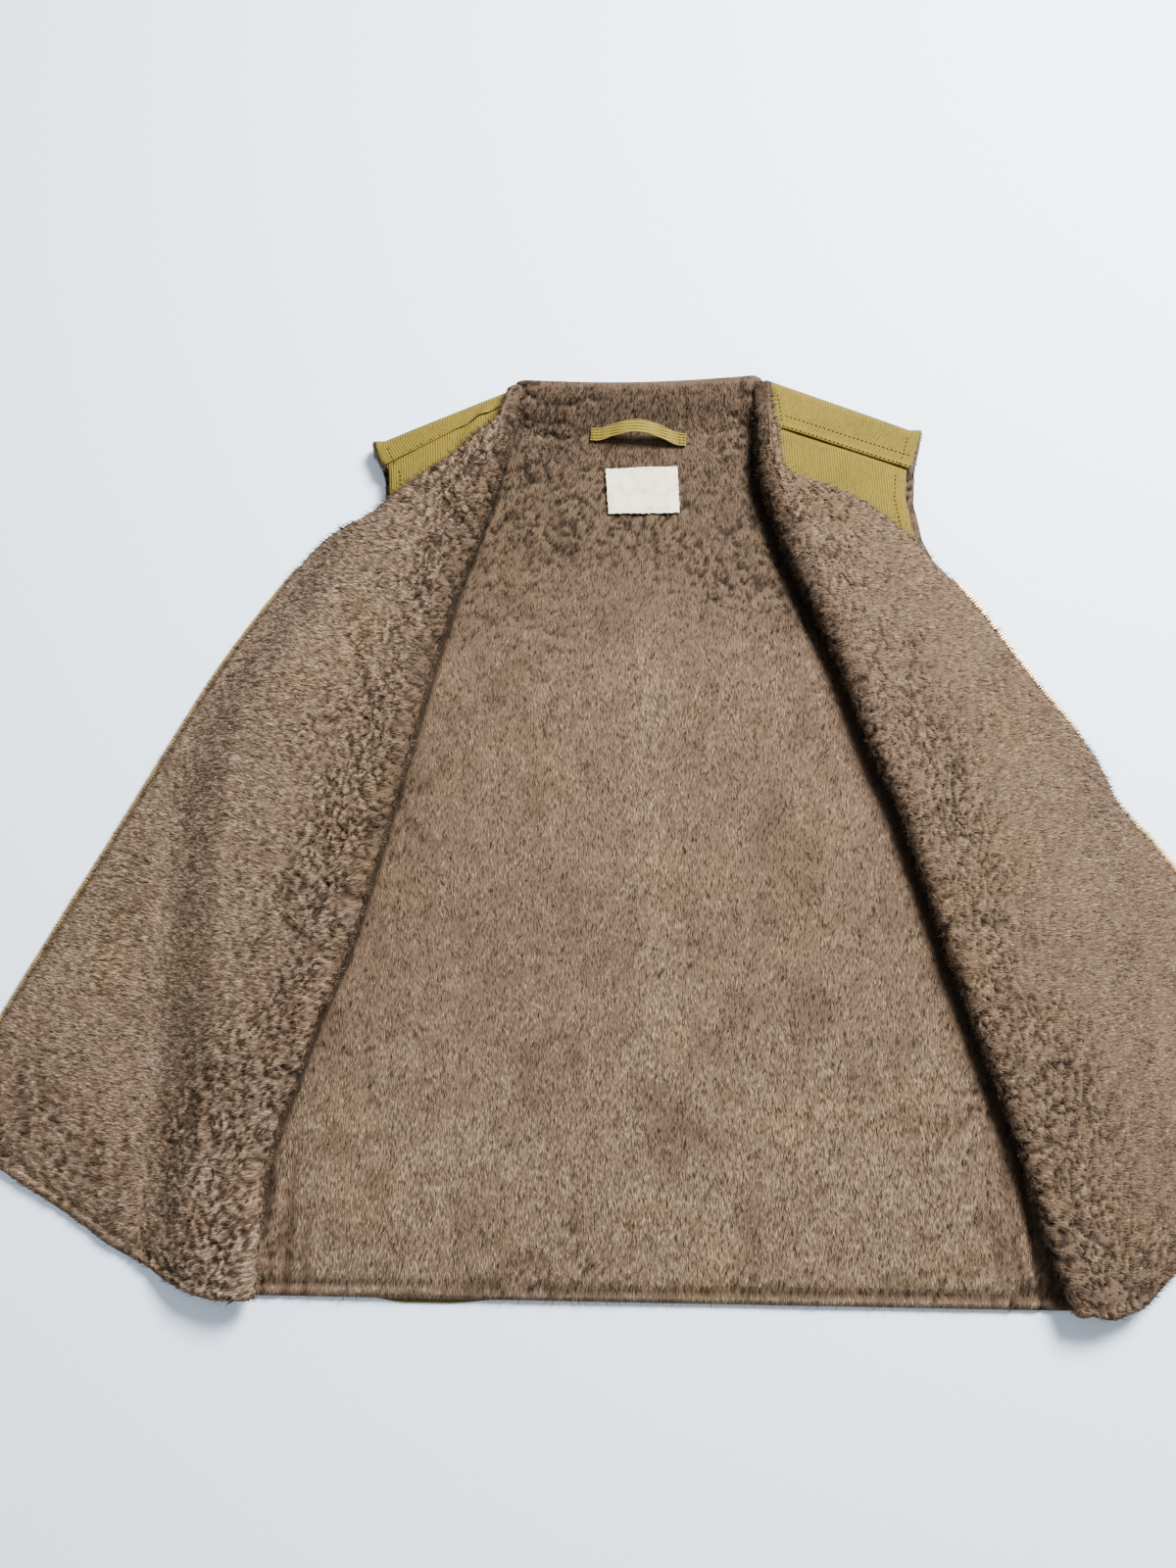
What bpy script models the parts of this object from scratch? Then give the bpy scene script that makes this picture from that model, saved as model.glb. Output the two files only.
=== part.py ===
"""Deck vest, laid on its back with both fronts folded open so that the pile lining shows.

Lengths in the tables are millimetres in the plan of the laid-out vest, x across, y from the hem to the neck.
The sheets lie on one floor plane: back cloth, back pile, front pile, front cloth, then the folded-over flaps.
"""
import bpy
import bmesh
import math
import numpy as np

for old in list(bpy.data.objects):
    bpy.data.objects.remove(old, do_unlink=True)

MM = 0.001
SHIFT_X = 3.99         # moves the middle of the whole vest onto the origin
SHIFT_Y = -316.22

SHELL_T = 1.2          # ribbed outer cloth
PILE_T = 6.5           # pile lining, base cloth and pile together
SEAM_GAP = 0.3         # air between neighbouring pieces
HALF_GAP = SEAM_GAP / 2
LOW_Z = 1.35           # meeting plane of cloth and pile where the cloth is on the floor
FRONT_Z = 14.95        # the same plane in the front where it lies over the back
FLAP_Z = 18.45         # the same plane in the flap where it lies over the front
BEND_R = 6.8           # radius of that plane round a side seam or shoulder
BEND_MID = (LOW_Z + FRONT_Z) / 2
ROLL_R = 4.0           # radius of that plane inside the folded edge
NECK_ROLL_R = 2.0
NECK_PILE = 0.62       # share of the pile height at the neck end of the folded edge
EDGE_BEND = BEND_R * math.radians(88.7)
PILE_BEND = 0.6        # share of the side bend that the pile follows
ARMPIT_Y = 372.0
TAPE_W = 7.0
TAPE_T = 0.7
CHAIN_W = 4.0
CHAIN_T = 2.2
CORNER_LIFT = 4.2      # cloth propped up by the slider that lies under it

# Edge of the folded roll as seen from above, neck to hem.
FOLD_RIGHT = [(-85, 633), (-94, 598), (-107, 557), (-121, 515), (-131, 490), (-152, 421), (-180, 320), (-209, 224),
              (-227, 183), (-242, 141), (-256, 99), (-260, 64), (-262, 10)]
FOLD_LEFT = [(83, 633), (83, 600), (84, 563), (92, 533), (98, 511), (115, 466), (133, 421), (153, 357), (167, 322),
             (181, 271), (195, 215), (217, 139), (231, 88), (241, 44), (249, 12), (257, -14)]
# Free edge of the flap: front neckline from the neck to the top of the zip, then the zip edge down to the hem.
NECKLINE_RIGHT = [(-98, 631), (-105, 614), (-119, 604), (-142, 584), (-169, 566), (-192, 546), (-209, 536),
                  (-228, 527), (-241, 517)]
ZIP_EDGE_RIGHT = [(-241, 517), (-257, 498), (-283, 463), (-309, 424), (-338, 374), (-371, 316), (-407, 254),
                  (-444, 188), (-476, 124)]
NECKLINE_LEFT = [(97, 631), (97, 606), (99, 579), (108, 566), (124, 561), (148, 551), (167, 538), (188, 519),
                 (200, 504), (215, 486)]
ZIP_EDGE_LEFT = [(215, 486), (234, 462), (263, 417), (284, 386), (308, 352), (322, 324), (344, 297), (360, 274),
                 (400, 212), (440, 150), (472, 100)]
# Hem of the flap, folded edge to the zip.
HEM_RIGHT = [(-273, 9), (-294, 10), (-318, 17), (-341, 29), (-365, 41), (-388, 57), (-436, 87), (-476, 117)]
HEM_LEFT = [(266, -18), (279, -21), (291, -18), (304, -13), (329, 5), (365, 28), (410, 56), (472, 94)]
# Outline of the back: half width against y, side seam up to the armpit, then the armhole up to the shoulder.
SIDE_Y = [-30, 40, 200, 330, 372, 405, 440, 480, 520, 548, 575, 600, 640]
SIDE_X_RIGHT = [-289, -288, -283, -279, -276, -262, -237, -211, -196, -192, -193, -199, -204]
SIDE_X_LEFT = [283, 283, 281, 279, 277, 266, 243, 219, 204, 200, 203, 210, 214]
HEM_SLOPE = -0.041
SHOULDER_FALL = 0.41
NECK_HALF = 82.0
# Front shoulder seam, armhole end and neck end.
SEAM_RIGHT = ((-190, 581), (-93, 632))
SEAM_LEFT = ((198, 570), (95, 609))


def smooth(a, b, x):
    f = np.clip((np.asarray(x, float) - a) / (b - a), 0.0, 1.0)
    return f * f * (3 - 2 * f)


class Path:
    """A smooth plan curve through the given points, measured by its length."""

    def __init__(self, points):
        p = np.array(points, float)
        ends = np.vstack([2 * p[0] - p[1], p, 2 * p[-1] - p[-2]])
        out = []
        for i in range(1, len(ends) - 2):
            a, b, c, d = ends[i - 1:i + 3]
            for k in range(12):
                f = k / 12
                out.append(0.5 * (2 * b + (c - a) * f + (2 * a - 5 * b + 4 * c - d) * f * f
                                  + (3 * b - a - 3 * c + d) * f ** 3))
        out.append(p[-1])
        self.p = np.array(out)
        step = np.linalg.norm(np.diff(self.p, axis=0), axis=1)
        self.s = np.concatenate([[0], np.cumsum(step)])
        self.length = self.s[-1]

    def at(self, distance):
        d = np.asarray(distance, float)
        return np.stack([np.interp(d, self.s, self.p[:, 0]), np.interp(d, self.s, self.p[:, 1])], -1)

    def along(self, distance):
        d = self.at(np.asarray(distance, float) + 3.0) - self.at(np.asarray(distance, float) - 3.0)
        return d / np.linalg.norm(d, axis=-1, keepdims=True)


class Side:
    """One front of the vest: sign is -1 for the wearer's right, +1 for the left."""

    def __init__(self, sign, fold, neckline, zip_edge, hem, side_x, seam):
        self.sign = sign
        self.fold = Path(fold)
        self.neckline = Path(neckline)
        self.zip_edge = Path(zip_edge)
        self.hem = Path(hem)
        self.side_x = side_x
        self.seam = seam


RIGHT = Side(-1, FOLD_RIGHT, NECKLINE_RIGHT, ZIP_EDGE_RIGHT, HEM_RIGHT, SIDE_X_RIGHT, SEAM_RIGHT)
LEFT = Side(1, FOLD_LEFT, NECKLINE_LEFT, ZIP_EDGE_LEFT, HEM_LEFT, SIDE_X_LEFT, SEAM_LEFT)
COLLECTION = bpy.data.collections.new("deck_vest")
bpy.context.scene.collection.children.link(COLLECTION)


def outline_x(side, y):
    return np.interp(y, SIDE_Y, side.side_x)


def bend_share(y):
    return np.maximum(1.0 - smooth(ARMPIT_Y, ARMPIT_Y + 60, y), 0.02)


def bend(share, e):
    """Reach and rise of a sheet that curls by e beyond the start of the bend."""
    k = share / BEND_R
    return np.sin(k * e) / k, (1 - np.cos(k * e)) / k


def flap_z(side, x, y, from_fold, roll_r):
    """Height of the meeting plane in the flap: over the front, then down to the floor."""
    outside = (np.asarray(x) - outline_x(side, y)) * side.sign
    z = LOW_Z + (FLAP_Z - LOW_Z) * (1 - smooth(8, 56, outside))
    crest = FRONT_Z + 2 * roll_r - FLAP_Z
    z = z + crest * (1 - smooth(0, 30, from_fold))
    if side.sign < 0:
        away = np.hypot(np.asarray(x) - ZIP_EDGE_RIGHT[-1][0], np.asarray(y) - ZIP_EDGE_RIGHT[-1][1])
        z = z + CORNER_LIFT * np.exp(-(away / 55) ** 2)
    return z


# Heights up the armhole and side seam at which both fronts and the back have a row of points.
EDGE_Y_FRONT = [592, 550, 525, 500, 478, 458, 440, 420, 400, 382, 366, 325, 280, 235, 190, 145, 100, 50]
EDGE_Y_BACK = [596, 578, 553, 520, 490, 465, 440, 420, 400, 382, 366, 325, 280, 235, 190, 145, 100, 50]
NECK_ROWS = [0, 0.08, 0.125, 0.17, 0.21, 0.255, 0.30]
ZIP_ROWS = 12
TIP_Y = 596.0          # bend of the shoulder at the armhole


def bent_height(share, e):
    """Pile height that still clears the pile of the other sheet inside the bend, as a share."""
    k = share / BEND_R
    room = (BEND_R - (1 - np.cos(k * e)) / k) / np.cos(k * (e - EDGE_BEND * PILE_BEND / 6))
    return float(min(1.0, (room - 0.6) / PILE_T))


def front_edge(side, y):
    share = float(bend_share(y))
    x = float(outline_x(side, y)) - side.sign * 10 * float(smooth(ARMPIT_Y, ARMPIT_Y + 60, y))
    reach, rise = bend(share, EDGE_BEND)
    return np.array([x - side.sign * (float(reach) + LOW_Z * share), y]), share


def flap_shares(side, axis, rim, inset):
    """Shares of a flap's width, with points where it leaves the front and where it reaches the floor."""
    f = np.linspace(0, 1, 201)
    p = axis + (rim - axis) * f[:, None]
    width = float(np.linalg.norm(rim - axis))
    outside = (p[:, 0] - outline_x(side, p[:, 1])) * side.sign
    last = 1 - inset / width
    leave, land = 0.25, 0.70
    if outside[-1] > 13:
        leave = float(np.clip(np.interp(7, outside, f), 0.05, 0.66))
        land = float(np.clip(np.interp(57, outside, f), leave + 0.15, last - min(8.0 / width, 0.1)))
    return ([leave / 2, leave] + [leave + (land - leave) * i / 4 for i in range(1, 5)] + [last, 1.0])


def front_plane(side, bend_part, inner=4, roll=6):
    """Meeting plane of one front, from armhole and side seam over the fold to neckline and zip edge."""
    rows = [(f, i / 6, 0.0) for i, f in enumerate(NECK_ROWS)]
    rows += [(0.30 + 0.70 * i / ZIP_ROWS, 1.0, i / ZIP_ROWS) for i in range(1, ZIP_ROWS + 1)]
    edge_y = EDGE_Y_FRONT + [HEM_SLOPE * float(outline_x(side, 0))]
    grid = []
    weights = []
    for (f_fold, f_neck, f_zip), y_edge in zip(rows, edge_y):
        line = []
        weight = []
        d = f_fold * side.fold.length
        near_neck = 1 - float(smooth(0, 70, d))
        roll_r = ROLL_R + (NECK_ROLL_R - ROLL_R) * near_neck
        pile_share = 1 + (NECK_PILE - 1) * near_neck
        tangent = side.fold.along(d)
        inward = np.array([-tangent[1], tangent[0]])
        inward = inward if inward[0] * side.sign < 0 else -inward
        axis = side.fold.at(d) - inward * (roll_r + HALF_GAP + PILE_T * pile_share)
        start, share = front_edge(side, y_edge)
        for part in (1, 2 / 3, 1 / 3):
            e = EDGE_BEND * bend_part * part
            reach, fall = bend(share, e)
            line.append((start[0] + side.sign * reach, start[1], FRONT_Z - fall))
            weight.append(bent_height(share, e))
        for i in range(inner + 1):
            f = i / inner
            p = start + (axis - start) * f
            line.append((p[0], p[1], FRONT_Z))
            weight.append(1 + (pile_share - 1) * float(smooth(0.3, 1.0, f)))
        for i in range(1, roll + 1):
            a = math.pi * i / roll
            p = axis + inward * roll_r * math.sin(a)
            line.append((p[0], p[1], FRONT_Z + roll_r * (1 - math.cos(a))))
            weight.append(pile_share)
        rim = side.neckline.at(f_neck * side.neckline.length)
        inset = 1.5
        if f_neck == 1.0:
            rim = side.zip_edge.at(f_zip * side.zip_edge.length)
            edge = side.zip_edge.along(f_zip * side.zip_edge.length)
            row = (rim - axis) / np.linalg.norm(rim - axis)
            inset = (TAPE_W + 2 * SEAM_GAP) / abs(row[0] * edge[1] - row[1] * edge[0])
        width = float(np.linalg.norm(rim - axis))
        for f in flap_shares(side, axis, rim, inset):
            p = axis + (rim - axis) * f
            if f_zip > 0:
                low = side.hem.at(f * side.hem.length)
                base = side.hem.at(0) + (side.hem.at(side.hem.length) - side.hem.at(0)) * f
                p = p + (low - base) * f_zip ** 2
            line.append((p[0], p[1], float(flap_z(side, p[0], p[1], width * f, roll_r))))
            weight.append(1 + (pile_share - 1) * (1 - float(smooth(0.0, 0.8, f))))
        grid.append(line)
        weights.append(weight)
    return np.array(grid), np.array(weights)


def trim_cloth(side, grid, inner=4):
    """The cloth starts at the shoulder seam and ends where the zip tape begins."""
    out = grid[:, :-1].copy()
    (xa, ya), (xb, yb) = side.seam
    for i in range(out.shape[1]):
        p0 = grid[0, min(i, inner + 3), :2]
        p1 = grid[1, min(i, inner + 3), :2]
        g = 0.0
        for _ in range(6):
            x = p0[0] + (p1[0] - p0[0]) * g
            seam_y = ya + (yb - ya) * (x - xa) / (xb - xa)
            g = float(np.clip((p0[1] - seam_y) / (p0[1] - p1[1]), 0.0, 0.9))
        out[0, i] = grid[0, i] + (grid[1, i] - grid[0, i]) * g
    return out


def facing(side, grid):
    """Row order that turns the face normals to the pile's side."""
    return grid[::-1] if side.sign > 0 else grid


def plane_normals(grid):
    """Unit normals, on the pile's side."""
    across = np.gradient(grid, axis=1)
    down = np.gradient(grid, axis=0)
    n = np.cross(across, down)
    return n / np.maximum(np.linalg.norm(n, axis=-1, keepdims=True), 1e-9)


def material(name, colour, roughness, metallic=0.0):
    mat = bpy.data.materials.new(name)
    mat.use_nodes = True
    bsdf = mat.node_tree.nodes["Principled BSDF"]
    bsdf.inputs["Base Color"].default_value = (*colour, 1)
    bsdf.inputs["Roughness"].default_value = roughness
    bsdf.inputs["Metallic"].default_value = metallic
    return mat


def place(name, mat):
    """Name the active object, give it its material and move it into the vest's collection."""
    ob = bpy.context.object
    ob.name = name
    ob.data.name = name
    ob.data.materials.clear()
    ob.data.materials.append(mat)
    for col in list(ob.users_collection):
        col.objects.unlink(ob)
    COLLECTION.objects.link(ob)
    return ob


def sheet(name, grid, thickness, outward, mat, weights=None, keep=None):
    """A grid whose points follow the given plan and height, thickened to one side."""
    rows, cols = grid.shape[:2]
    bpy.ops.mesh.primitive_grid_add(x_subdivisions=cols - 1, y_subdivisions=rows - 1, size=1)
    ob = place(name, mat)
    flat = grid.reshape(-1, 3) + np.array([SHIFT_X, SHIFT_Y, 0])
    for vertex, p in zip(ob.data.vertices, flat):
        vertex.co = p * MM
    if weights is not None:
        group = ob.vertex_groups.new(name="height")
        for i, w in enumerate(np.asarray(weights).reshape(-1)):
            group.add([i], float(w), "REPLACE")
    if keep is not None:
        bm = bmesh.new()
        bm.from_mesh(ob.data)
        bm.verts.ensure_lookup_table()
        kept = np.asarray(keep).reshape(-1)
        bmesh.ops.delete(bm, geom=[v for v in bm.verts if not kept[v.index]], context="VERTS")
        bm.to_mesh(ob.data)
        bm.free()
    split = ob.modifiers.new("Split", "TRIANGULATE")
    split.quad_method = "FIXED"
    solid = ob.modifiers.new("Thickness", "SOLIDIFY")
    solid.thickness = thickness * MM
    solid.offset = 1.0 if outward else -1.0
    solid.use_even_offset = False
    if weights is not None:
        solid.vertex_group = "height"
    return ob


def block(name, centre, size, turn, mat, bevel=0.4):
    bpy.ops.mesh.primitive_cube_add(size=1)
    ob = place(name, mat)
    ob.scale = [s * MM for s in size]
    ob.rotation_euler = (0, 0, turn)
    ob.location = ((centre[0] + SHIFT_X) * MM, (centre[1] + SHIFT_Y) * MM, centre[2] * MM)
    bpy.ops.object.transform_apply(location=True, rotation=True, scale=True)
    edge = ob.modifiers.new("Bevel", "BEVEL")
    edge.width = bevel * MM
    edge.segments = 2
    return ob


KHAKI = (0.40, 0.34, 0.13)
PILE = (0.20, 0.145, 0.105)

# Fronts: ribbed cloth and pile, each from the shoulder and side seam over the fold to the zip edge.
FRONT = {}
for side, word in ((RIGHT, "right"), (LEFT, "left")):
    plane, heights = front_plane(side, PILE_BEND)
    normals = facing(side, plane_normals(facing(side, plane)))
    FRONT[word] = (plane, normals)
    lift = np.full(plane.shape[:2] + (1,), HALF_GAP)
    lift[:, :3] += 0.15
    sheet("front_pile_" + word, facing(side, plane + normals * lift), PILE_T, True,
          material("front_pile_" + word, PILE, 0.9), weights=facing(side, heights))
    plane, heights = front_plane(side, 1.0)
    normals = facing(side, plane_normals(facing(side, plane)))
    sheet("front_shell_" + word, facing(side, trim_cloth(side, plane - normals * HALF_GAP)), SHELL_T, False,
          material("front_shell_" + word, KHAKI, 0.75))

# Back: flat on the floor, curled up round both side seams to meet the fronts.
TOP_X = [-188, -150, -118, -95, -82, -74, -60, -30, 0, 30, 60, 74, 82, 95, 118, 150, 188]


def neck_y(x):
    return 641.0 + 3.0 * (np.abs(x) / NECK_HALF) ** 2


def wall(x, y):
    """The back of the neck stands up in a short wall between the two rolls."""
    return 13.0 * smooth(623, 642, y) * (1 - smooth(60, 76, np.abs(x)))


def back_plane(bend_part, wrap):
    cols = len(TOP_X) + 6
    tips = [float(outline_x(side, TIP_Y)) - side.sign * (EDGE_BEND + 0.1) for side in (RIGHT, LEFT)]
    top_x = np.array([tips[0]] + TOP_X[1:-1] + [tips[1]])
    share_across = (top_x - tips[0]) / (tips[1] - tips[0])
    rows = len(EDGE_Y_BACK)
    grid = np.zeros((rows + 1, cols, 3))
    for j in range(rows + 1):
        ends = []
        for side in (RIGHT, LEFT):
            hem_y = HEM_SLOPE * float(outline_x(side, 0))
            y = hem_y if j == 0 else EDGE_Y_BACK[rows - j]
            share = float(bend_share(y))
            reach, rise = bend(share, EDGE_BEND)
            x = float(outline_x(side, y)) - side.sign * (float(reach) + LOW_Z * share)
            ends.append((x, y, share, (y - hem_y) / (TIP_Y - hem_y)))
        x0, x1 = ends[0][0], ends[1][0]
        for i, f in enumerate(share_across):
            x = x0 + (x1 - x0) * f
            v = ends[0][3] + (ends[1][3] - ends[0][3]) * f
            if abs(top_x[i]) > NECK_HALF:
                tip = abs(tips[0]) if top_x[i] < 0 else tips[1]
                top = TIP_Y + SHOULDER_FALL * (tip - abs(top_x[i]))
            else:
                top = float(neck_y(top_x[i]))
            hem_y = HEM_SLOPE * x
            y = hem_y + (top - hem_y) * v
            grid[j, i + 3] = (x, y, LOW_Z + wall(top_x[i], y))
        for k, e in enumerate(np.array([1, 2 / 3, 1 / 3]) * EDGE_BEND * bend_part):
            for side, (x, y, share, v), col in ((RIGHT, ends[0], k), (LEFT, ends[1], cols - 1 - k)):
                reach, rise = bend(share, e)
                edge_y = grid[j, 3 if side is RIGHT else cols - 4][1]
                grid[j, col] = (x + side.sign * reach, edge_y, LOW_Z + rise)
    if not wrap:
        return grid, None
    extra = []
    keep = [np.ones(cols, bool)] * (rows + 1)
    wide = grid[-1, :, 0]
    arcs = 6
    forward = 3
    for k in range(1, arcs + forward + 1):
        line = grid[-1].copy()
        used = np.zeros(cols, bool)
        for i in range(cols):
            x = wide[i]
            if abs(x) < 93:
                continue
            side = RIGHT if x < 0 else LEFT
            a = math.pi * min(k, arcs) / arcs
            y_c = float(grid[-1, i, 1])
            line[i, 1] = y_c + BEND_R * math.sin(a)
            line[i, 2] = BEND_MID - BEND_R * math.cos(a)
            if k > arcs:
                (xa, ya), (xb, yb) = side.seam
                seam_y = ya + (yb - ya) * (x - xa) / (xb - xa) + SEAM_GAP * 1.5
                line[i, 1] = y_c + (min(seam_y, y_c - 2) - y_c) * (k - arcs) / forward
            used[i] = True
        extra.append(line)
        keep.append(used)
    return np.vstack([grid, np.array(extra)]), np.array(keep)


plane, kept = back_plane(1.0, True)
sheet("back_shell", plane - plane_normals(plane) * HALF_GAP, SHELL_T, False,
      material("back_shell", KHAKI, 0.75), keep=kept)
plane, kept = back_plane(PILE_BEND, False)
plane[-1, :, 1] -= 0.6
heights = np.ones(plane.shape[:2])
lift = np.full(plane.shape[:2] + (1,), HALF_GAP)
lift[:, :3] += 0.15
lift[:, -3:] += 0.15
for j in range(plane.shape[0]):
    for i, part in ((0, 1), (1, 2 / 3), (2, 1 / 3)):
        e = EDGE_BEND * PILE_BEND * part
        heights[j, i] = bent_height(float(bend_share(plane[j, i, 1])), e)
        heights[j, -1 - i] = bent_height(float(bend_share(plane[j, -1 - i, 1])), e)
sheet("back_pile", plane + plane_normals(plane) * lift, PILE_T, True,
      material("back_pile", PILE, 0.9), weights=heights)

# Size label and hanger loop on the back pile below the neck.
PILE_TOP = LOW_Z + HALF_GAP + PILE_T
LABEL = [(-24.5, 544), (27, 543.5), (-26, 579), (27, 580)]
corners = np.array(LABEL, float)
grid = np.zeros((4, 5, 3))
for j in range(4):
    for i in range(5):
        u, v = i / 4, j / 3
        p = (corners[0] * (1 - u) + corners[1] * u) * (1 - v) + (corners[2] * (1 - u) + corners[3] * u) * v
        grid[j, i] = (p[0], p[1], PILE_TOP + SEAM_GAP)
sheet("size_label", grid, 0.8, True, material("size_label", (0.75, 0.72, 0.58), 0.8))

LOOP_A = np.array([-36.0, 606.5])
LOOP_B = np.array([34.0, 600.5])
LOOP_W = 10.0
LOOP_RISE = 10.0
grid = np.zeros((3, 21, 3))
across = (LOOP_B - LOOP_A) / np.linalg.norm(LOOP_B - LOOP_A)
for j in range(3):
    for i in range(21):
        u = i / 20
        p = LOOP_A + (LOOP_B - LOOP_A) * u + np.array([-across[1], across[0]]) * LOOP_W * (j / 2 - 0.5)
        arch = math.sin(math.pi * min(max((u - 0.08) / 0.84, 0), 1)) ** 1.2
        grid[j, i] = (p[0], p[1] + 4 * arch, PILE_TOP + SEAM_GAP + LOOP_RISE * arch)
sheet("hanger_loop", grid, 1.2, True, material("hanger_loop", KHAKI, 0.75))


# Zip: a tape under each zip edge, a chain beyond it, and the parts that join the two at the hem.
def zip_line(side, front, start, stop):
    """Points of the flap's zip edge with their frames, shortened at both ends."""
    plane, normals = front
    first = len(NECK_ROWS) - 1
    rim = plane[first:, -1].copy()
    up = normals[first:, -1]
    tangent = np.gradient(rim, axis=0)
    tangent = tangent / np.linalg.norm(tangent, axis=1, keepdims=True)
    out = np.cross(tangent, up)
    out = out / np.linalg.norm(out, axis=1, keepdims=True)
    if out[0, 0] * side.sign < 0:
        out = -out
    top = rim[0] + (rim[1] - rim[0]) * start / np.linalg.norm(rim[1] - rim[0])
    low = rim[-1] + (rim[-2] - rim[-1]) * stop / np.linalg.norm(rim[-2] - rim[-1])
    rim[0], rim[-1] = top, low
    return rim, tangent, out, up


def chain_strip(side, front, start, stop):
    rim, tangent, out, up = zip_line(side, front, start, stop)
    grid = np.zeros((len(rim), 3, 3))
    for i in range(3):
        grid[:, i] = rim + out * (2 * SEAM_GAP + CHAIN_W * i / 2) - up * LOW_Z
    grid[:, :, 2] = np.maximum(grid[:, :, 2], 0.0)
    return grid[:, ::-1] if side.sign > 0 else grid


def tape_strip(side, front):
    """The tape lies under the pile's edge, in line with the cloth."""
    plane, normals = front
    first = len(NECK_ROWS) - 1
    edge = (plane - normals * (0.6 + TAPE_T))[first:]
    share = TAPE_W / (TAPE_W + 2 * SEAM_GAP)
    grid = np.stack([edge[:, -1] + (edge[:, -2] - edge[:, -1]) * share, edge[:, -1]], 1)
    grid[0] += (grid[1] - grid[0]) * 0.2
    grid[-1] += (grid[-2] - grid[-1]) * 0.06
    return grid[:, ::-1] if side.sign > 0 else grid


def zip_place(side, front, from_end, offset):
    rim, tangent, out, up = zip_line(side, front, 0, from_end)
    p = rim[-1] + out[-1] * offset
    return p, math.atan2(tangent[-1, 1], tangent[-1, 0]), float(rim[-1, 2]) - LOW_Z


BRASS = (0.72, 0.50, 0.18)
for side, word, low_end in ((RIGHT, "right", 24.4), (LEFT, "left", 16.0)):
    sheet("zip_tape_" + word, tape_strip(side, FRONT[word]), TAPE_T, True, material("zip_tape_" + word, (0.30, 0.26, 0.11), 0.8))
    sheet("zip_chain_" + word, chain_strip(side, FRONT[word], 10.0, low_end), CHAIN_T, True, material("zip_chain_" + word, BRASS, 0.35, 1.0))

CHAIN_MID = 2 * SEAM_GAP + CHAIN_W / 2
SLIDER_FROM = 18.4     # middle of the slider to the lower end of the zip
SLIDER_SIZE = (11.0, 8.0, 4.2)
HINGE_R = 0.55
HINGE_DROP = 1.35      # hinge axis below the slider's underside
TAB_SIZE = (20.0, 5.0, 1.0)


def rod(name, centre, radius, length, turn, mat, sides=16):
    bpy.ops.mesh.primitive_cylinder_add(vertices=sides, radius=radius * MM, depth=length * MM)
    ob = place(name, mat)
    ob.rotation_euler = (math.pi / 2, 0, turn)
    ob.location = ((centre[0] + SHIFT_X) * MM, (centre[1] + SHIFT_Y) * MM, centre[2] * MM)
    bpy.ops.object.transform_apply(location=True, rotation=True, scale=True)
    return ob


def combine(ob, other, operation):
    """Boolean of two objects, applied, after which the second one goes."""
    bpy.context.view_layer.objects.active = ob
    for modifier in list(ob.modifiers):
        bpy.ops.object.modifier_apply(modifier=modifier.name)
    cut = ob.modifiers.new("Combine", "BOOLEAN")
    cut.operation = operation
    cut.solver = "EXACT"
    cut.object = other
    bpy.ops.object.modifier_apply(modifier=cut.name)
    bpy.data.objects.remove(other, do_unlink=True)


p, turn, low = zip_place(RIGHT, FRONT["right"], SLIDER_FROM, CHAIN_MID + 2.2)
SLIDER_Z = low + CHAIN_T / 2 + 0.3
AXIS_Z = SLIDER_Z - SLIDER_SIZE[2] / 2 - HINGE_DROP
along = np.array([math.cos(turn), math.sin(turn)])
metal = material("zip_slider", BRASS, 0.3, 1.0)
slider = block("zip_slider", (p[0], p[1], SLIDER_Z), SLIDER_SIZE, turn, metal)
# Two ears and a pin under the slider carry the pull tab.
hinge = np.array([p[0], p[1]]) + along * 3.0
across = np.array([-along[1], along[0]])
for word, offset in (("ear_a", 2.1), ("ear_b", -2.1)):
    at = hinge + across * offset
    ear = block(word, (at[0], at[1], AXIS_Z + 0.6), (2.2, 0.9, 2.4), turn, metal, bevel=0.15)
    bpy.context.view_layer.objects.active = ear
    bpy.ops.object.modifier_apply(modifier="Bevel")
    combine(slider, ear, "UNION")
pin = rod("hinge_pin", (hinge[0], hinge[1], AXIS_Z), HINGE_R, 4.2, turn, metal)
combine(slider, pin, "UNION")
# The pull tab lies along the chain under the slider and turns on that pin.
centre = hinge - along * (TAB_SIZE[0] / 2 - 1.2)
tab_metal = material("zip_pull_tab", BRASS, 0.3, 1.0)
tab = block("zip_pull_tab", (centre[0], centre[1], AXIS_Z), TAB_SIZE, turn, tab_metal, bevel=0.25)
head = rod("tab_head", (hinge[0], hinge[1], AXIS_Z), 1.15, 2.7, turn, tab_metal, sides=20)
combine(tab, head, "UNION")
hole = rod("tab_hole", (hinge[0], hinge[1], AXIS_Z), HINGE_R + 0.2, 6.0, turn, tab_metal, sides=20)
combine(tab, hole, "DIFFERENCE")
for offset in (2.1, -2.1):
    at = hinge + across * offset
    room = block("ear_room", (at[0], at[1], AXIS_Z), (3.6, 1.5, 4.0), turn, tab_metal, bevel=0.1)
    combine(tab, room, "DIFFERENCE")
p, turn, low = zip_place(RIGHT, FRONT["right"], 6.6, CHAIN_MID + 1.6)
block("zip_box", (p[0], p[1], low + CHAIN_T / 2), (10.0, 6.6, 3.2), turn, material("zip_box", BRASS, 0.3, 1.0))
p, turn, low = zip_place(LEFT, FRONT["left"], 8.8, CHAIN_MID)
block("zip_pin", (p[0], p[1], low + CHAIN_T / 2), (13.0, 2.6, 2.2), turn, material("zip_pin", BRASS, 0.3, 1.0))
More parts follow.
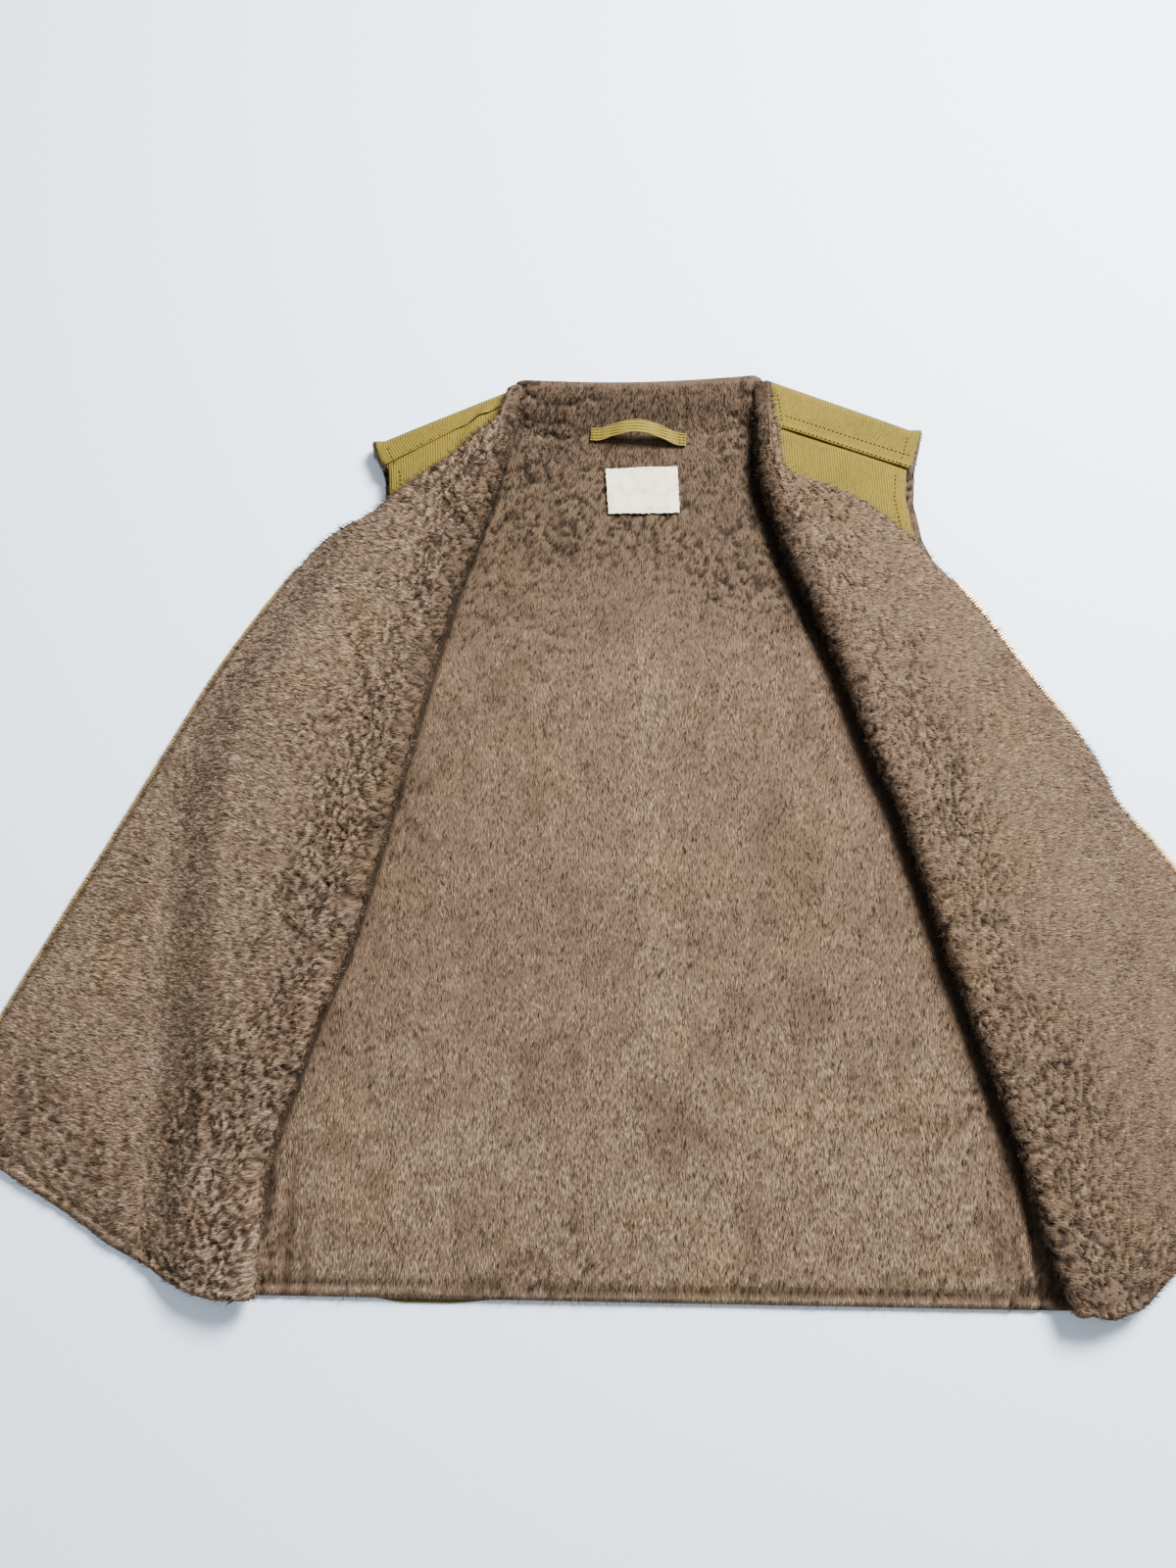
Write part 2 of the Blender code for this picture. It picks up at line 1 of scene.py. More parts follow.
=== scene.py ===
import math
import bpy
import numpy as np
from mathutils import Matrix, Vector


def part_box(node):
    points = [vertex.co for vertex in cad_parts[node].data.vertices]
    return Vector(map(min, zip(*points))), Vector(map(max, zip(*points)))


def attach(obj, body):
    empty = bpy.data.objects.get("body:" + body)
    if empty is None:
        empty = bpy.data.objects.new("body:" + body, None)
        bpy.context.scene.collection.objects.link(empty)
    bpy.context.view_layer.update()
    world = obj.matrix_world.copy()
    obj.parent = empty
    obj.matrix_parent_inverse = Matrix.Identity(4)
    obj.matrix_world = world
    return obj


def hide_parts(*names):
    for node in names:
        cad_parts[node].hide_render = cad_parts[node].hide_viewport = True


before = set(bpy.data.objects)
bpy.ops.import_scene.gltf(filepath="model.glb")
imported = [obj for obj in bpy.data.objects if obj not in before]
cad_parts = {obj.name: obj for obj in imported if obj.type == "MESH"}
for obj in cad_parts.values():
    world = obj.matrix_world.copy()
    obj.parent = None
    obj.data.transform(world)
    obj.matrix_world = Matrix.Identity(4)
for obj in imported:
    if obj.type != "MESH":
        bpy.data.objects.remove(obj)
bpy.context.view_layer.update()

# The sheet of pale card that the vest lies on, the soft light over it and the camera above it.
# The card is wide enough to fill the view from every side, and lies 0.4 mm below the cloth.


def set_inputs(mat, node, inputs):
    """Give a shader node's inputs their values, or the outputs that feed them."""
    for socket, value in inputs.items():
        if isinstance(value, bpy.types.NodeSocket):
            mat.node_tree.links.new(value, node.inputs[socket])
        else:
            node.inputs[socket].default_value = value


def surface(mat, inputs):
    set_inputs(mat, mat.node_tree.nodes["Principled BSDF"], inputs)


def new_material(name, inputs):
    mat = bpy.data.materials.new(name)
    mat.use_nodes = True
    surface(mat, inputs)
    return mat


bpy.ops.object.select_all(action="DESELECT")
bpy.ops.mesh.primitive_plane_add(size=9.0, location=(0, 0, -0.0004))
card = bpy.context.object
card.name = "pale_card"
card.data.materials.append(new_material("pale_card", {"Base Color": (0.78, 0.882, 1.0, 1), "Roughness": 0.95,
                                                      "Specular IOR Level": 0.0}))

bpy.ops.object.camera_add(location=(-0.04439, -0.17087, 0.9426),
                          rotation=(math.radians(12.0), 0, math.radians(-1.29)))
camera = bpy.context.object
camera.name = "camera"
camera.data.lens = 31.5
camera.data.sensor_width = 36.0
camera.data.clip_start = 0.01
bpy.context.scene.camera = camera

for name, place, aim, size, power in (("window_light", (0.72, 0.86, 1.30), (0.0, -0.05, 0.0), 0.6, 136.0),
                                      ("fill_light", (-1.1, 0.2, 1.9), (0.0, 0.0, 0.0), 1.8, 8.0)):
    bpy.ops.object.light_add(type="AREA", location=place)
    lamp = bpy.context.object
    lamp.name = name
    lamp.data.size = size
    lamp.data.energy = power
    away = np.array(place) - np.array(aim)
    lamp.rotation_euler = (math.atan2(math.hypot(away[0], away[1]), away[2]), 0,
                           math.atan2(away[1], away[0]) + math.pi / 2)
world = bpy.data.worlds.new("pale_room")
world.use_nodes = True
world.node_tree.nodes["Background"].inputs["Color"].default_value = (0.86, 0.92, 1.0, 1)
world.node_tree.nodes["Background"].inputs["Strength"].default_value = 0.56
bpy.context.scene.world = world

# The two fronts' pile lining: a knitted ground with curly wool pile, laid over the back, rolled over at
# the fold and lying pile up on the card. Each is one sheet whose pile is shaped into curls and valleys.
# Sizes are in millimetres, x across the vest and y from the hem to the neck.
MM = 0.001
SHIFT = np.array([3.99, -316.22, 0.0])  # from the middle of the hem to the frame's origin
PILE_T = 6.5
GAP = 0.15  # between the pile and the cloth it is sewn to
LOW_Z = 1.35  # middle height of the back, of a front over it, and of the folded flap
FRONT_Z = 14.95
FLAP_Z = 18.45
BEND_R = 6.8
EDGE_BEND = BEND_R * math.radians(88.7)
ARMPIT_Y = 372.0
HEM_ROW = 8.5  # the hem's stitching, from the edge
FOLD = {
    "right": [(-85, 633), (-94, 598), (-107, 557), (-121, 515), (-131, 490), (-152, 421), (-180, 320),
              (-209, 224), (-227, 183), (-242, 141), (-256, 99), (-260, 64), (-262, 10)],
    "left": [(83, 633), (83, 600), (84, 563), (92, 533), (98, 511), (115, 466), (133, 421), (153, 357),
             (167, 322), (181, 271), (195, 215), (217, 139), (231, 88), (241, 44), (249, 12), (257, -14)],
}
NECKLINE = {
    "right": [(-98, 631), (-105, 614), (-119, 604), (-142, 584), (-169, 566), (-192, 546), (-209, 536),
              (-228, 527), (-241, 517)],
    "left": [(97, 631), (97, 606), (99, 579), (108, 566), (124, 561), (148, 551), (167, 538), (188, 519),
             (200, 504), (215, 486)],
}
ZIP_EDGE = {
    "right": [(-241, 517), (-257, 498), (-283, 463), (-309, 424), (-338, 374), (-371, 316), (-407, 254),
              (-444, 188), (-476, 124)],
    "left": [(215, 486), (234, 462), (263, 417), (284, 386), (308, 352), (322, 324), (344, 297),
             (360, 274), (400, 212), (440, 150), (472, 100)],
}
HEM = {
    "right": [(-273, 9), (-294, 10), (-318, 17), (-341, 29), (-365, 41), (-388, 57), (-436, 87),
              (-476, 117)],
    "left": [(266, -18), (279, -21), (291, -18), (304, -13), (329, 5), (365, 28), (410, 56), (472, 94)],
}
SIDE_Y = [-30, 40, 200, 330, 372, 405, 440, 480, 520, 548, 575, 600, 640]
SIDE_X = {"right": [-289, -288, -283, -279, -276, -262, -237, -211, -196, -192, -193, -199, -204],
          "left": [283, 283, 281, 279, 277, 266, 243, 219, 204, 200, 203, 210, 214]}
SIGN = {"right": -1.0, "left": 1.0}
HEM_SLOPE = -0.041
NECK_ROWS = [0, 0.08, 0.125, 0.17, 0.21, 0.255, 0.30]
EDGE_Y = [592, 550, 525, 500, 478, 458, 440, 420, 400, 382, 366, 325, 280, 235, 190, 145, 100, 50]


def smooth(a, b, x):
    """0 before a, 1 after b and a smooth rise between."""
    f = np.clip((np.asarray(x, float) - a) / (b - a), 0.0, 1.0)
    return f * f * (3 - 2 * f)


def hump(x, middle, width):
    return np.exp(-((x - middle) / width) ** 2)


def unit(v, least=1e-9):
    return v / np.maximum(np.linalg.norm(v, axis=-1, keepdims=True), least)


def lengths(points):
    """Distance along a row of points, from its first."""
    return np.concatenate([[0], np.cumsum(np.linalg.norm(np.diff(points, axis=0), axis=1))])


def between(at, known, table):
    """Each column of a table, read between its rows."""
    return np.stack([np.interp(at, known, table[:, k]) for k in range(table.shape[1])], -1)


class Path:
    """A smooth plan curve through the given points, measured by its length."""

    def __init__(self, points):
        p = np.array(points, float)
        ends = np.vstack([2 * p[0] - p[1], p, 2 * p[-1] - p[-2]])
        out = []
        for i in range(1, len(ends) - 2):
            a, b, c, d = ends[i - 1:i + 3]
            for k in range(12):
                f = k / 12
                out.append(0.5 * (2 * b + (c - a) * f + (2 * a - 5 * b + 4 * c - d) * f * f
                                  + (3 * b - a - 3 * c + d) * f ** 3))
        out.append(p[-1])
        self.p = np.array(out)
        self.s = lengths(self.p)
        self.length = self.s[-1]

    def at(self, distance):
        return between(distance, self.s, self.p)

    def along(self, distance):
        return unit(self.at(distance + 3.0) - self.at(distance - 3.0))


fold_path, neck_path, zip_path, hem_path = ({s: Path(line[s]) for s in SIGN}
                                            for line in (FOLD, NECKLINE, ZIP_EDGE, HEM))


def outline_x(side, y):
    return np.interp(y, SIDE_Y, SIDE_X[side])


def bend_share(y):
    return np.maximum(1.0 - smooth(ARMPIT_Y, ARMPIT_Y + 60, y), 0.02)


def bend(share, e):
    k = share / BEND_R
    return np.sin(k * e) / k, (1 - np.cos(k * e)) / k


def flap_z(side, x, y, from_fold, roll_r):
    outside = (x - outline_x(side, y)) * SIGN[side]
    z = LOW_Z + (FLAP_Z - LOW_Z) * (1 - smooth(8, 56, outside))
    z = z + (FRONT_Z + 2 * roll_r - FLAP_Z) * (1 - smooth(0, 30, from_fold))
    if side == "right":
        # The corner with the slider is propped up a little.
        corner_x, corner_y = ZIP_EDGE[side][-1]
        z = z + 4.2 * hump(np.hypot(x - corner_x, y - corner_y), 0, 55)
    return z


def front_sheet(side, rows, bend_part, bends, inner, roll, flap):
    """Plan and height of a front, row by row from the shoulder to the hem. bends, inner, roll and flap are
    the places across it: round the side seam, over the back, round the fold and out to the zip."""
    sign = SIGN[side]
    edge_y = EDGE_Y + [HEM_SLOPE * float(outline_x(side, 0))]
    grid, share_of_pile, from_rim = [], [], []
    for r in rows:
        f_neck = min(r / 6, 1.0)
        f_zip = max((r - 6) / 12, 0.0)
        f_fold = float(np.interp(r, range(7), NECK_ROWS)) if r < 6 else 0.30 + 0.70 * f_zip
        d = f_fold * fold_path[side].length
        near_neck = 1 - float(smooth(0, 70, d))
        roll_r = 4.0 - 2.0 * near_neck
        pile_share = 1 - 0.38 * near_neck
        t = fold_path[side].along(d)
        inward = np.array([-t[1], t[0]])
        inward = inward if inward[0] * sign < 0 else -inward
        axis = fold_path[side].at(d) - inward * (roll_r + GAP + PILE_T * pile_share)
        y_edge = float(np.interp(r, range(19), edge_y))
        share = float(bend_share(y_edge))
        x_edge = float(outline_x(side, y_edge)) - sign * 10 * float(smooth(ARMPIT_Y, ARMPIT_Y + 60, y_edge))
        reach = bend(share, EDGE_BEND)[0]
        start = np.array([x_edge - sign * (float(reach) + LOW_Z * share), y_edge])
        reach, fall = bend(share, EDGE_BEND * bend_part * bends)
        part = [np.stack([start[0] + sign * reach, np.full(len(bends), start[1]), FRONT_Z - fall], 1)]
        p = start + (axis - start) * inner[:, None]
        part.append(np.column_stack([p, np.full(len(inner), FRONT_Z)]))
        p = axis + inward * roll_r * np.sin(roll)[:, None]
        part.append(np.column_stack([p, FRONT_Z + roll_r * (1 - np.cos(roll))]))
        rim = neck_path[side].at(f_neck * neck_path[side].length)
        if f_zip > 0:
            rim = zip_path[side].at(f_zip * zip_path[side].length)
        width = float(np.linalg.norm(rim - axis))
        p = axis + (rim - axis) * flap[:, None]
        if f_zip > 0:
            h = hem_path[side]
            sag = h.at(flap * h.length) - h.at(0) - (h.at(h.length) - h.at(0)) * flap[:, None]
            p = p + sag * f_zip ** 2
        part.append(np.column_stack([p, flap_z(side, p[:, 0], p[:, 1], width * flap, roll_r)]))
        grid.append(np.vstack(part))
        lead = len(bends) + len(inner) + len(roll)
        share_of_pile.append(np.concatenate([
            np.full(len(bends), 0.75), 1 + (pile_share - 1) * smooth(0.3, 1.0, inner),
            np.full(len(roll), pile_share), 1 + (pile_share - 1) * (1 - smooth(0.0, 0.8, flap))]))
        from_rim.append(np.concatenate([np.full(lead, 99.0), (1 - flap) * width]))
    return np.array(grid), np.array(share_of_pile), np.array(from_rim)


def normals_of(grid, side=None):
    n = unit(np.cross(np.gradient(grid, axis=1), np.gradient(grid, axis=0)))
    return n if side != "left" else -n


def run_along(grid, axis):
    step = np.linalg.norm(np.diff(grid, axis=axis), axis=-1)
    zero = np.zeros_like(np.take(step, [0], axis=axis))
    return np.concatenate([zero, np.cumsum(step, axis=axis)], axis=axis)


def hashed(i, j, k):
    n = np.sin(i * 127.1 + j * 311.7 + k * 74.7) * 43758.5453
    return n - np.floor(n)


def drift(x, y, size, k):
    """Smooth wandering value from -1 to 1, changing over the given size."""
    x, y = np.asarray(x) / size, np.asarray(y) / size
    i, j = np.floor(x), np.floor(y)
    u, v = x - i, y - j
    u, v = u * u * (3 - 2 * u), v * v * (3 - 2 * v)
    low = hashed(i, j, k) * (1 - u) + hashed(i + 1, j, k) * u
    high = hashed(i, j + 1, k) * (1 - u) + hashed(i + 1, j + 1, k) * u
    return 2 * (low * (1 - v) + high * v) - 1


def curls(x, y, size):
    """Nearest curl of wool: distance from it in curl sizes, how near its edge is, and its random number."""
    x, y = np.asarray(x), np.asarray(y)
    i0, j0 = np.floor(x / size), np.floor(y / size)
    best = np.full(x.shape, 9.0)
    second = np.full(x.shape, 9.0)
    tag = np.zeros(x.shape)
    for i in (-1, 0, 1):
        for j in (-1, 0, 1):
            a, b = i0 + i, j0 + j
            px = (a + 0.1 + 0.8 * hashed(a, b, 1)) * size
            py = (b + 0.1 + 0.8 * hashed(a, b, 2)) * size
            d = np.hypot(px - x, py - y) / size
            near = d < best
            second = np.where(near, best, np.minimum(second, d))
            best = np.where(near, d, best)
            tag = np.where(near, hashed(a, b, 3), tag)
    return best, second - best, tag


def pile_shape(high, from_edge, u, v, cell_turn, curl, size=5.2):
    """Height of the pile: curls with dark valleys between them, rounded over at the cut edges, then how much
    light each place sees and the way that each curl leans."""
    warp_u = u + 4.2 * drift(u, v, 13.0, 11) + 1.7 * drift(u, v, 4.8, 15)
    warp_v = v + 4.2 * drift(u, v, 13.0, 12) + 1.7 * drift(u, v, 4.8, 16)
    c, s = math.cos(cell_turn), math.sin(cell_turn)
    cell_u, cell_v = warp_u * c + warp_v * s, -warp_u * s + warp_v * c
    near, edge, tag = curls(cell_u * 0.6, cell_v, size)
    gate = smooth(-0.6, 0.6, 0.55 * drift(u, v, 7.0, 17) + 0.4 * drift(u, v, 21.0, 18) + 1.5 * (curl - 0.70))
    valley = (1 - smooth(0.02, 0.22, edge)) * gate * smooth(-0.75, 0.15, drift(u, v, 3.7, 19))
    dome = np.clip(near / 0.85, 0, 1) ** 2
    depth = curl * (2.1 * valley * (0.5 + 0.5 * tag) + 0.55 * dome * (0.3 + 0.7 * gate))
    ridge = np.abs(drift(cell_u * 0.45, cell_v, 6.0, 23) + 0.25 * drift(u, v, 2.6, 25))
    crack = (1 - smooth(0.02, 0.24, ridge)) * smooth(-0.35, 0.35, drift(u, v, 8.0, 24))
    crack = crack * smooth(0.42, 0.95, curl)
    depth = depth + 1.3 * crack
    depth = depth + 0.22 * (drift(u, v, 2.7, 13) + 1) + 0.40 * (drift(u, v, 34, 14) + 1)
    round_off = np.sqrt(np.clip(1 - (1 - np.clip(from_edge / 5.0, 0, 1)) ** 2, 0.0025, 1))
    height = np.clip(high - depth, 0.22 * high, None) * round_off
    # Painted shade: the valleys, the cracks and the curls' sides are darkened, and each curl gets its own
    # random tone.
    light = 0.77 - 0.42 * valley * np.clip(1.25 * curl - 0.25, 0.04, 1.1) - 0.10 * dome * curl
    light = light + 0.07 * (tag - 0.5)
    light = np.clip(light + 0.02 - 0.30 * crack, 0.03, 1)
    lean = (tag - 0.5) * 1.1 * np.clip(0.1 + 0.9 * (curl - 0.3), 0, 1) + 0.25 * drift(u, v, 26, 20)
    return height, light, lean


def lay_uv(ob, name, flat):
    """A UV layer with one place, in millimetres, for each point."""
    loops = np.zeros(len(ob.data.loops), np.int32)
    ob.data.loops.foreach_get("vertex_index", loops)
    places = (flat * MM)[loops].astype(np.float32).ravel()
    ob.data.uv_layers.new(name=name).data.foreach_set("uv", places)


def paint_light_and_tone(ob, light_and_tone):
    """How much light each point sees, with random tone, painted into the wool's colour as light and shade."""
    layer = ob.data.attributes.new("light_and_tone", "FLOAT", "POINT")
    layer.data.foreach_set("value", light_and_tone.ravel().astype(np.float32))


def pelt(name, lower, normals, height, light, uv, flip, mat, step=6):
    """A closed piece: the pile's surface above, every sixth row of the knitted ground below, joined round."""
    rows, cols = height.shape
    few = np.unique(np.append(np.arange(0, rows, step), rows - 1))
    top = lower + normals * height[..., None]
    index = np.arange(rows * cols).reshape(rows, cols)
    low = np.arange(len(few) * cols).reshape(len(few), cols) + rows * cols
    quads = lambda g: np.stack([g[:-1, :-1], g[:-1, 1:], g[1:, 1:], g[1:, :-1]], -1).reshape(-1, 4)
    faces = [quads(index), quads(low)[:, ::-1]]
    for g, h in ((index[0], low[0]), (index[-1, ::-1], low[-1, ::-1])):
        faces.append(np.stack([g[1:], g[:-1], h[:-1], h[1:]], -1))
    tris = []
    for col, turn in ((0, False), (cols - 1, True)):
        for k in range(len(few) - 1):
            a, b = few[k], few[k + 1]
            mid = (a + b) // 2
            fan = [(index[r, col], index[r + 1, col], low[k if r < mid else k + 1, col]) for r in range(a, b)]
            fan.append((index[mid, col], low[k + 1, col], low[k, col]))
            tris += [t[::-1] if turn else t for t in fan]
    faces = [np.concatenate(faces), np.array(tris)]
    points = np.concatenate([top.reshape(-1, 3), lower[few].reshape(-1, 3)]) + SHIFT
    ob = mesh_piece(name, points * MM, [f[:, ::-1] if flip else f for f in faces], mat)
    # The knitted ground below gets a low light value of 0.1, painted shade under the pile, so the cut edges
    # darken towards it.
    paint_light_and_tone(ob, np.concatenate([light.ravel(), np.full(len(few) * cols, 0.1)]))
    lay_uv(ob, "nap", np.concatenate([uv.reshape(-1, 2), uv[few].reshape(-1, 2)]))
    return ob


def mesh_piece(name, points, faces, mat):
    """One mesh object from points in metres and one or more arrays of faces."""
    mesh = bpy.data.meshes.new(name)
    faces = [np.asarray(f, np.int32) for f in (faces if isinstance(faces, list) else [faces]) if len(f)]
    corners = np.concatenate([np.full(len(f), f.shape[1], np.int32) for f in faces])
    loops = np.concatenate([f.ravel() for f in faces])
    mesh.vertices.add(len(points))
    mesh.vertices.foreach_set("co", np.asarray(points, np.float32).ravel())
    mesh.loops.add(len(loops))
    mesh.loops.foreach_set("vertex_index", loops)
    mesh.polygons.add(len(corners))
    mesh.polygons.foreach_set("loop_start", (np.cumsum(corners) - corners).astype(np.int32))
    mesh.polygons.foreach_set("use_smooth", np.ones(len(corners), bool))
    mesh.update(calc_edges=True)
    mesh.validate()
    mesh.materials.append(mat)
    ob = bpy.data.objects.new(name, mesh)
    bpy.context.scene.collection.objects.link(ob)
    return ob


def feed(mat, kind, out, inputs=None, **settings):
    """A shader node of one kind, with its settings and inputs; gives its output of the given name."""
    node = mat.node_tree.nodes.new("ShaderNode" + kind)
    for key, value in settings.items():
        setattr(node, key, value)
    set_inputs(mat, node, inputs or {})
    return node.outputs[out]


def dye(mat, amount, stops):
    """The colour for each amount, between stops of a place and a colour."""
    colour = feed(mat, "ValToRGB", "Color", {"Fac": amount})
    elements = colour.node.color_ramp.elements
    for place, _ in stops[1:-1]:
        elements.new(place)
    for element, (place, rgb) in zip(elements, stops):
        element.position = place
        element.color = (*rgb, 1)
    return colour


def over_dye(mat, colour, tint):
    """One colour multiplied by another."""
    return feed(mat, "Mix", "Result", {"Factor": 1.0, "A": colour, "B": tint}, data_type="RGBA",
                blend_type="MULTIPLY")


def relief(mat, height, strength, distance):
    return feed(mat, "Bump", "Normal", {"Strength": strength, "Distance": distance, "Height": height})


def stretched_noise(mat, uv_name, stretch, detail, distortion=0.0):
    """Noise drawn out along the piece's own UV map."""
    uv = feed(mat, "UVMap", "UV", uv_map=uv_name)
    place = feed(mat, "VectorMath", "Vector", {0: uv, 1: stretch}, operation="MULTIPLY")
    return uv, feed(mat, "TexNoise", "Fac", {"Vector": place, "Scale": 1.0, "Detail": detail,
                                             "Distortion": distortion})


def pile_material(name):
    """Taupe wool: painted shade makes it dark in the valleys and painted light makes it pale at the tips,
    with faint pink and straw patches and fine fibres along the nap."""
    mat = new_material(name, {"Roughness": 0.9, "Specular IOR Level": 0.12})
    _, fibre = stretched_noise(mat, "nap", (260.0, 1300.0, 1.0), 3.0, 0.6)
    light_and_tone = feed(mat, "Attribute", "Fac", attribute_name="light_and_tone")
    level = feed(mat, "Math", 0, {0: fibre, 1: 0.95, 2: -0.475}, operation="MULTIPLY_ADD")
    total = feed(mat, "Math", 0, {0: light_and_tone, 1: level}, operation="ADD", use_clamp=True)
    colour = dye(mat, total, ((0.0, (0.010, 0.0063, 0.0035)), (0.40, (0.038, 0.0242, 0.0150)),
                              (0.75, (0.108, 0.0705, 0.0445)), (1.0, (0.325, 0.236, 0.163))))
    patches = feed(mat, "TexNoise", "Fac", {"Vector": feed(mat, "TexCoord", "Object"), "Scale": 13.0,
                                            "Detail": 4.0, "Roughness": 0.6})
    tint = dye(mat, patches, ((0.34, (1.01, 0.968, 0.95)), (0.5, (0.97, 0.97, 0.97)),
                              (0.66, (1.04, 1.02, 0.93))))
    surface(mat, {"Base Color": over_dye(mat, colour, tint), "Normal": relief(mat, fibre, 0.7, 0.0008)})
    return mat


wool = pile_material("wool_pile")


def spikes(name, roots, tips, sideways, up, wide, lock_light_and_tone, mat, flip=False):
    """Closed four-sided spikes, one for each root, with their tones: painted shade at the root and painted
    light at the tip.
    """
    base = [roots + sideways * wide, roots - sideways * wide, roots + up * wide * 1.1]
    points = np.stack(base + [tips], 1).reshape(-1, 3) + SHIFT
    first = np.arange(len(roots))[:, None] * 4
    faces = np.concatenate([first + np.array([[0, 1, 3]]), first + np.array([[1, 2, 3]]),
                            first + np.array([[2, 0, 3]]), first + np.array([[0, 2, 1]])])
    ob = mesh_piece(name, points * MM, faces[:, ::-1] if flip else faces, mat)
    paint_light_and_tone(ob, np.clip(np.stack([lock_light_and_tone * 0.62, lock_light_and_tone * 0.62, lock_light_and_tone * 0.8, lock_light_and_tone + 0.22], 1), 0, 1))
    return ob


def tufts(name, count, seed, lower, normals, height, light, lean, way, length, stand, keep, flip=False):
    """Locks of wool on a pile: each a thin closed spike that leans with the nap and with its own curl. Way is
    the nap's angle, stand the locks' own angle from the pile, and keep where they grow."""
    pick = np.random.default_rng(seed)
    top = lower + normals * height[..., None]
    du, dv = np.gradient(top, axis=1), np.gradient(top, axis=0)
    area = np.linalg.norm(np.cross(du[:-1, :-1], dv[:-1, :-1]), axis=-1) * keep[:-1, :-1]
    area = area * (0.25 + 0.75 * light[:-1, :-1])
    cells = pick.choice(area.size, count, p=(area / area.sum()).ravel())
    j, i = np.divmod(cells, area.shape[1])
    a, b = pick.random(count), pick.random(count)

    def blend(g):
        a_, b_ = (a, b) if g.ndim == 2 else (a[:, None], b[:, None])
        return ((g[j, i] * (1 - a_) + g[j, i + 1] * a_) * (1 - b_)
                + (g[j + 1, i] * (1 - a_) + g[j + 1, i + 1] * a_) * b_)

    root, up, deep, tall = blend(top), blend(normals), blend(light), blend(height)
    up = unit(up)
    tu, tv = blend(du), blend(dv)
    tu = unit(tu - up * np.sum(tu * up, 1, keepdims=True))
    tv = unit(tv - up * np.sum(tv * up, 1, keepdims=True) - tu * np.sum(tv * tu, 1, keepdims=True))
    turn = way + lean[j, i] + pick.normal(0, 0.20, count)
    flat = tu * np.cos(turn)[:, None] + tv * np.sin(turn)[:, None]
    rise = np.clip(pick.normal(stand, 0.12, count), 0.04, 1.2)
    long = length * (0.6 + 0.8 * pick.random(count)) * np.clip(tall / 4.5, 0.4, 1.0)
    tip = root + flat * (np.cos(rise) * long)[:, None] + up * np.minimum(np.sin(rise) * long, 1.3)[:, None]
    root = root - up * np.minimum(0.7, 0.4 * tall)[:, None]
    side = np.cross(flat, up)
    wide = (0.20 + 0.24 * pick.random(count) ** 2)[:, None]
    # Each lock takes the painted light and shade of the pile at its root, with a random tone of its own and a
    # few pale hairs.
    lock_light_and_tone = deep + pick.normal(0.0, 0.29, count) + 0.25 * (pick.random(count) > 0.985)
    return spikes(name, root, tip, side, up, wide, np.clip(lock_light_and_tone, 0.04, 1), wool, flip)


for side, nap, seed in (("right", 0.30, 21), ("left", 0.42, 22)):
    rows = np.concatenate([np.linspace(0, 6, 104)[:-1], np.linspace(6, 18, 240)])
    places = (np.array([1, 2 / 3, 1 / 3]), np.array([0, 0.3, 0.6, 0.85, 1.0]),
              np.radians(np.linspace(0, 180, 19)[1:]),
              np.concatenate([np.linspace(0, 0.34, 47)[1:], np.linspace(0.35, 1, 54)]))
    sheet, pile_share, from_rim = front_sheet(side, rows, 0.6, *places)
    # A few rows more carry the roll up to the neck's edge.
    step = unit(sheet[0] - sheet[1], 0.1)
    extra = np.stack([sheet[0] + step * d + np.array([0, 0, -0.03 * d * d]) for d in (8.0, 6.8, 4.8, 2.4)])
    sheet = np.vstack([extra, sheet])
    pile_share = np.vstack([pile_share[:1]] * 4 + [pile_share])
    from_rim = np.vstack([from_rim[:1]] * 4 + [from_rim])
    up = normals_of(sheet, side)
    fold_col = 3 + 5 + 6
    u = run_along(sheet, 1)
    u = u - u[:, fold_col:fold_col + 1]
    from_neck = run_along(sheet, 0)
    v = np.repeat(from_neck[:, fold_col:fold_col + 1], sheet.shape[1], axis=1)
    from_hem = from_neck[-1:] - from_neck
    from_edge = np.minimum(np.minimum(from_rim + 0.5, from_hem + 0.3), from_neck + 0.8)
    curl = 0.36 + 0.80 * hump(np.clip(u - 18, 0, None), 0, 50) + 0.42 * hump(from_hem, 0, 60)
    curl = curl - 0.06 * (1 - smooth(0, 190, v)) * smooth(-5, 30, u)
    curl = np.clip(curl * (1 + 0.28 * drift(u, v, 62, 31)), 0.2, 1.3)
    high = PILE_T * pile_share
    high = high - 1.9 * hump(from_hem, HEM_ROW, 1.6) * (from_rim > 20)
    high = high + 1.6 * drift(u, v, 75, 33) * smooth(40, 80, u) * smooth(10, 40, from_rim) - 0.4
    height, light, lean = pile_shape(high, from_edge, u, v, nap + 0.45, curl)
    # Painted shade on the inner side of each roll, next to the back. The left front is also made a little
    # darker all over, and the right front lighter near the hem.
    inner_side = 1 - smooth(3, 15, u)
    if side == "left":
        light = light - 0.075 - 0.26 * inner_side * (1 - smooth(140, 320, v))
    else:
        by_hem = hump(from_hem, 0, 85) * (1 - smooth(30, 80, u))
        light = light - 0.01 - 0.16 * inner_side * (1 - smooth(330, 480, v)) + 0.105 * by_hem
    light = np.clip(light, 0.02, 1)
    lower = sheet + up * GAP
    c, s = math.cos(nap), math.sin(nap)
    uv = np.stack([u * c + v * s, -u * s + v * c], -1)
    ob = pelt("pile_front_" + side, lower, up, height, light, uv, side == "left", wool)
    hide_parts("front_pile_" + side)
    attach(ob, "vest")
    keep = (0.3 + 0.7 * smooth(0.5, 4.0, from_edge)) * (1 + 0.7 * (1 - smooth(60, 170, v)))
    keep[:, :9] = 0
    ob = tufts("wool_front_" + side, 39000, seed, lower, up, height, light, lean, nap,
               length=6.2, stand=0.26, keep=keep)
    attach(ob, "vest")

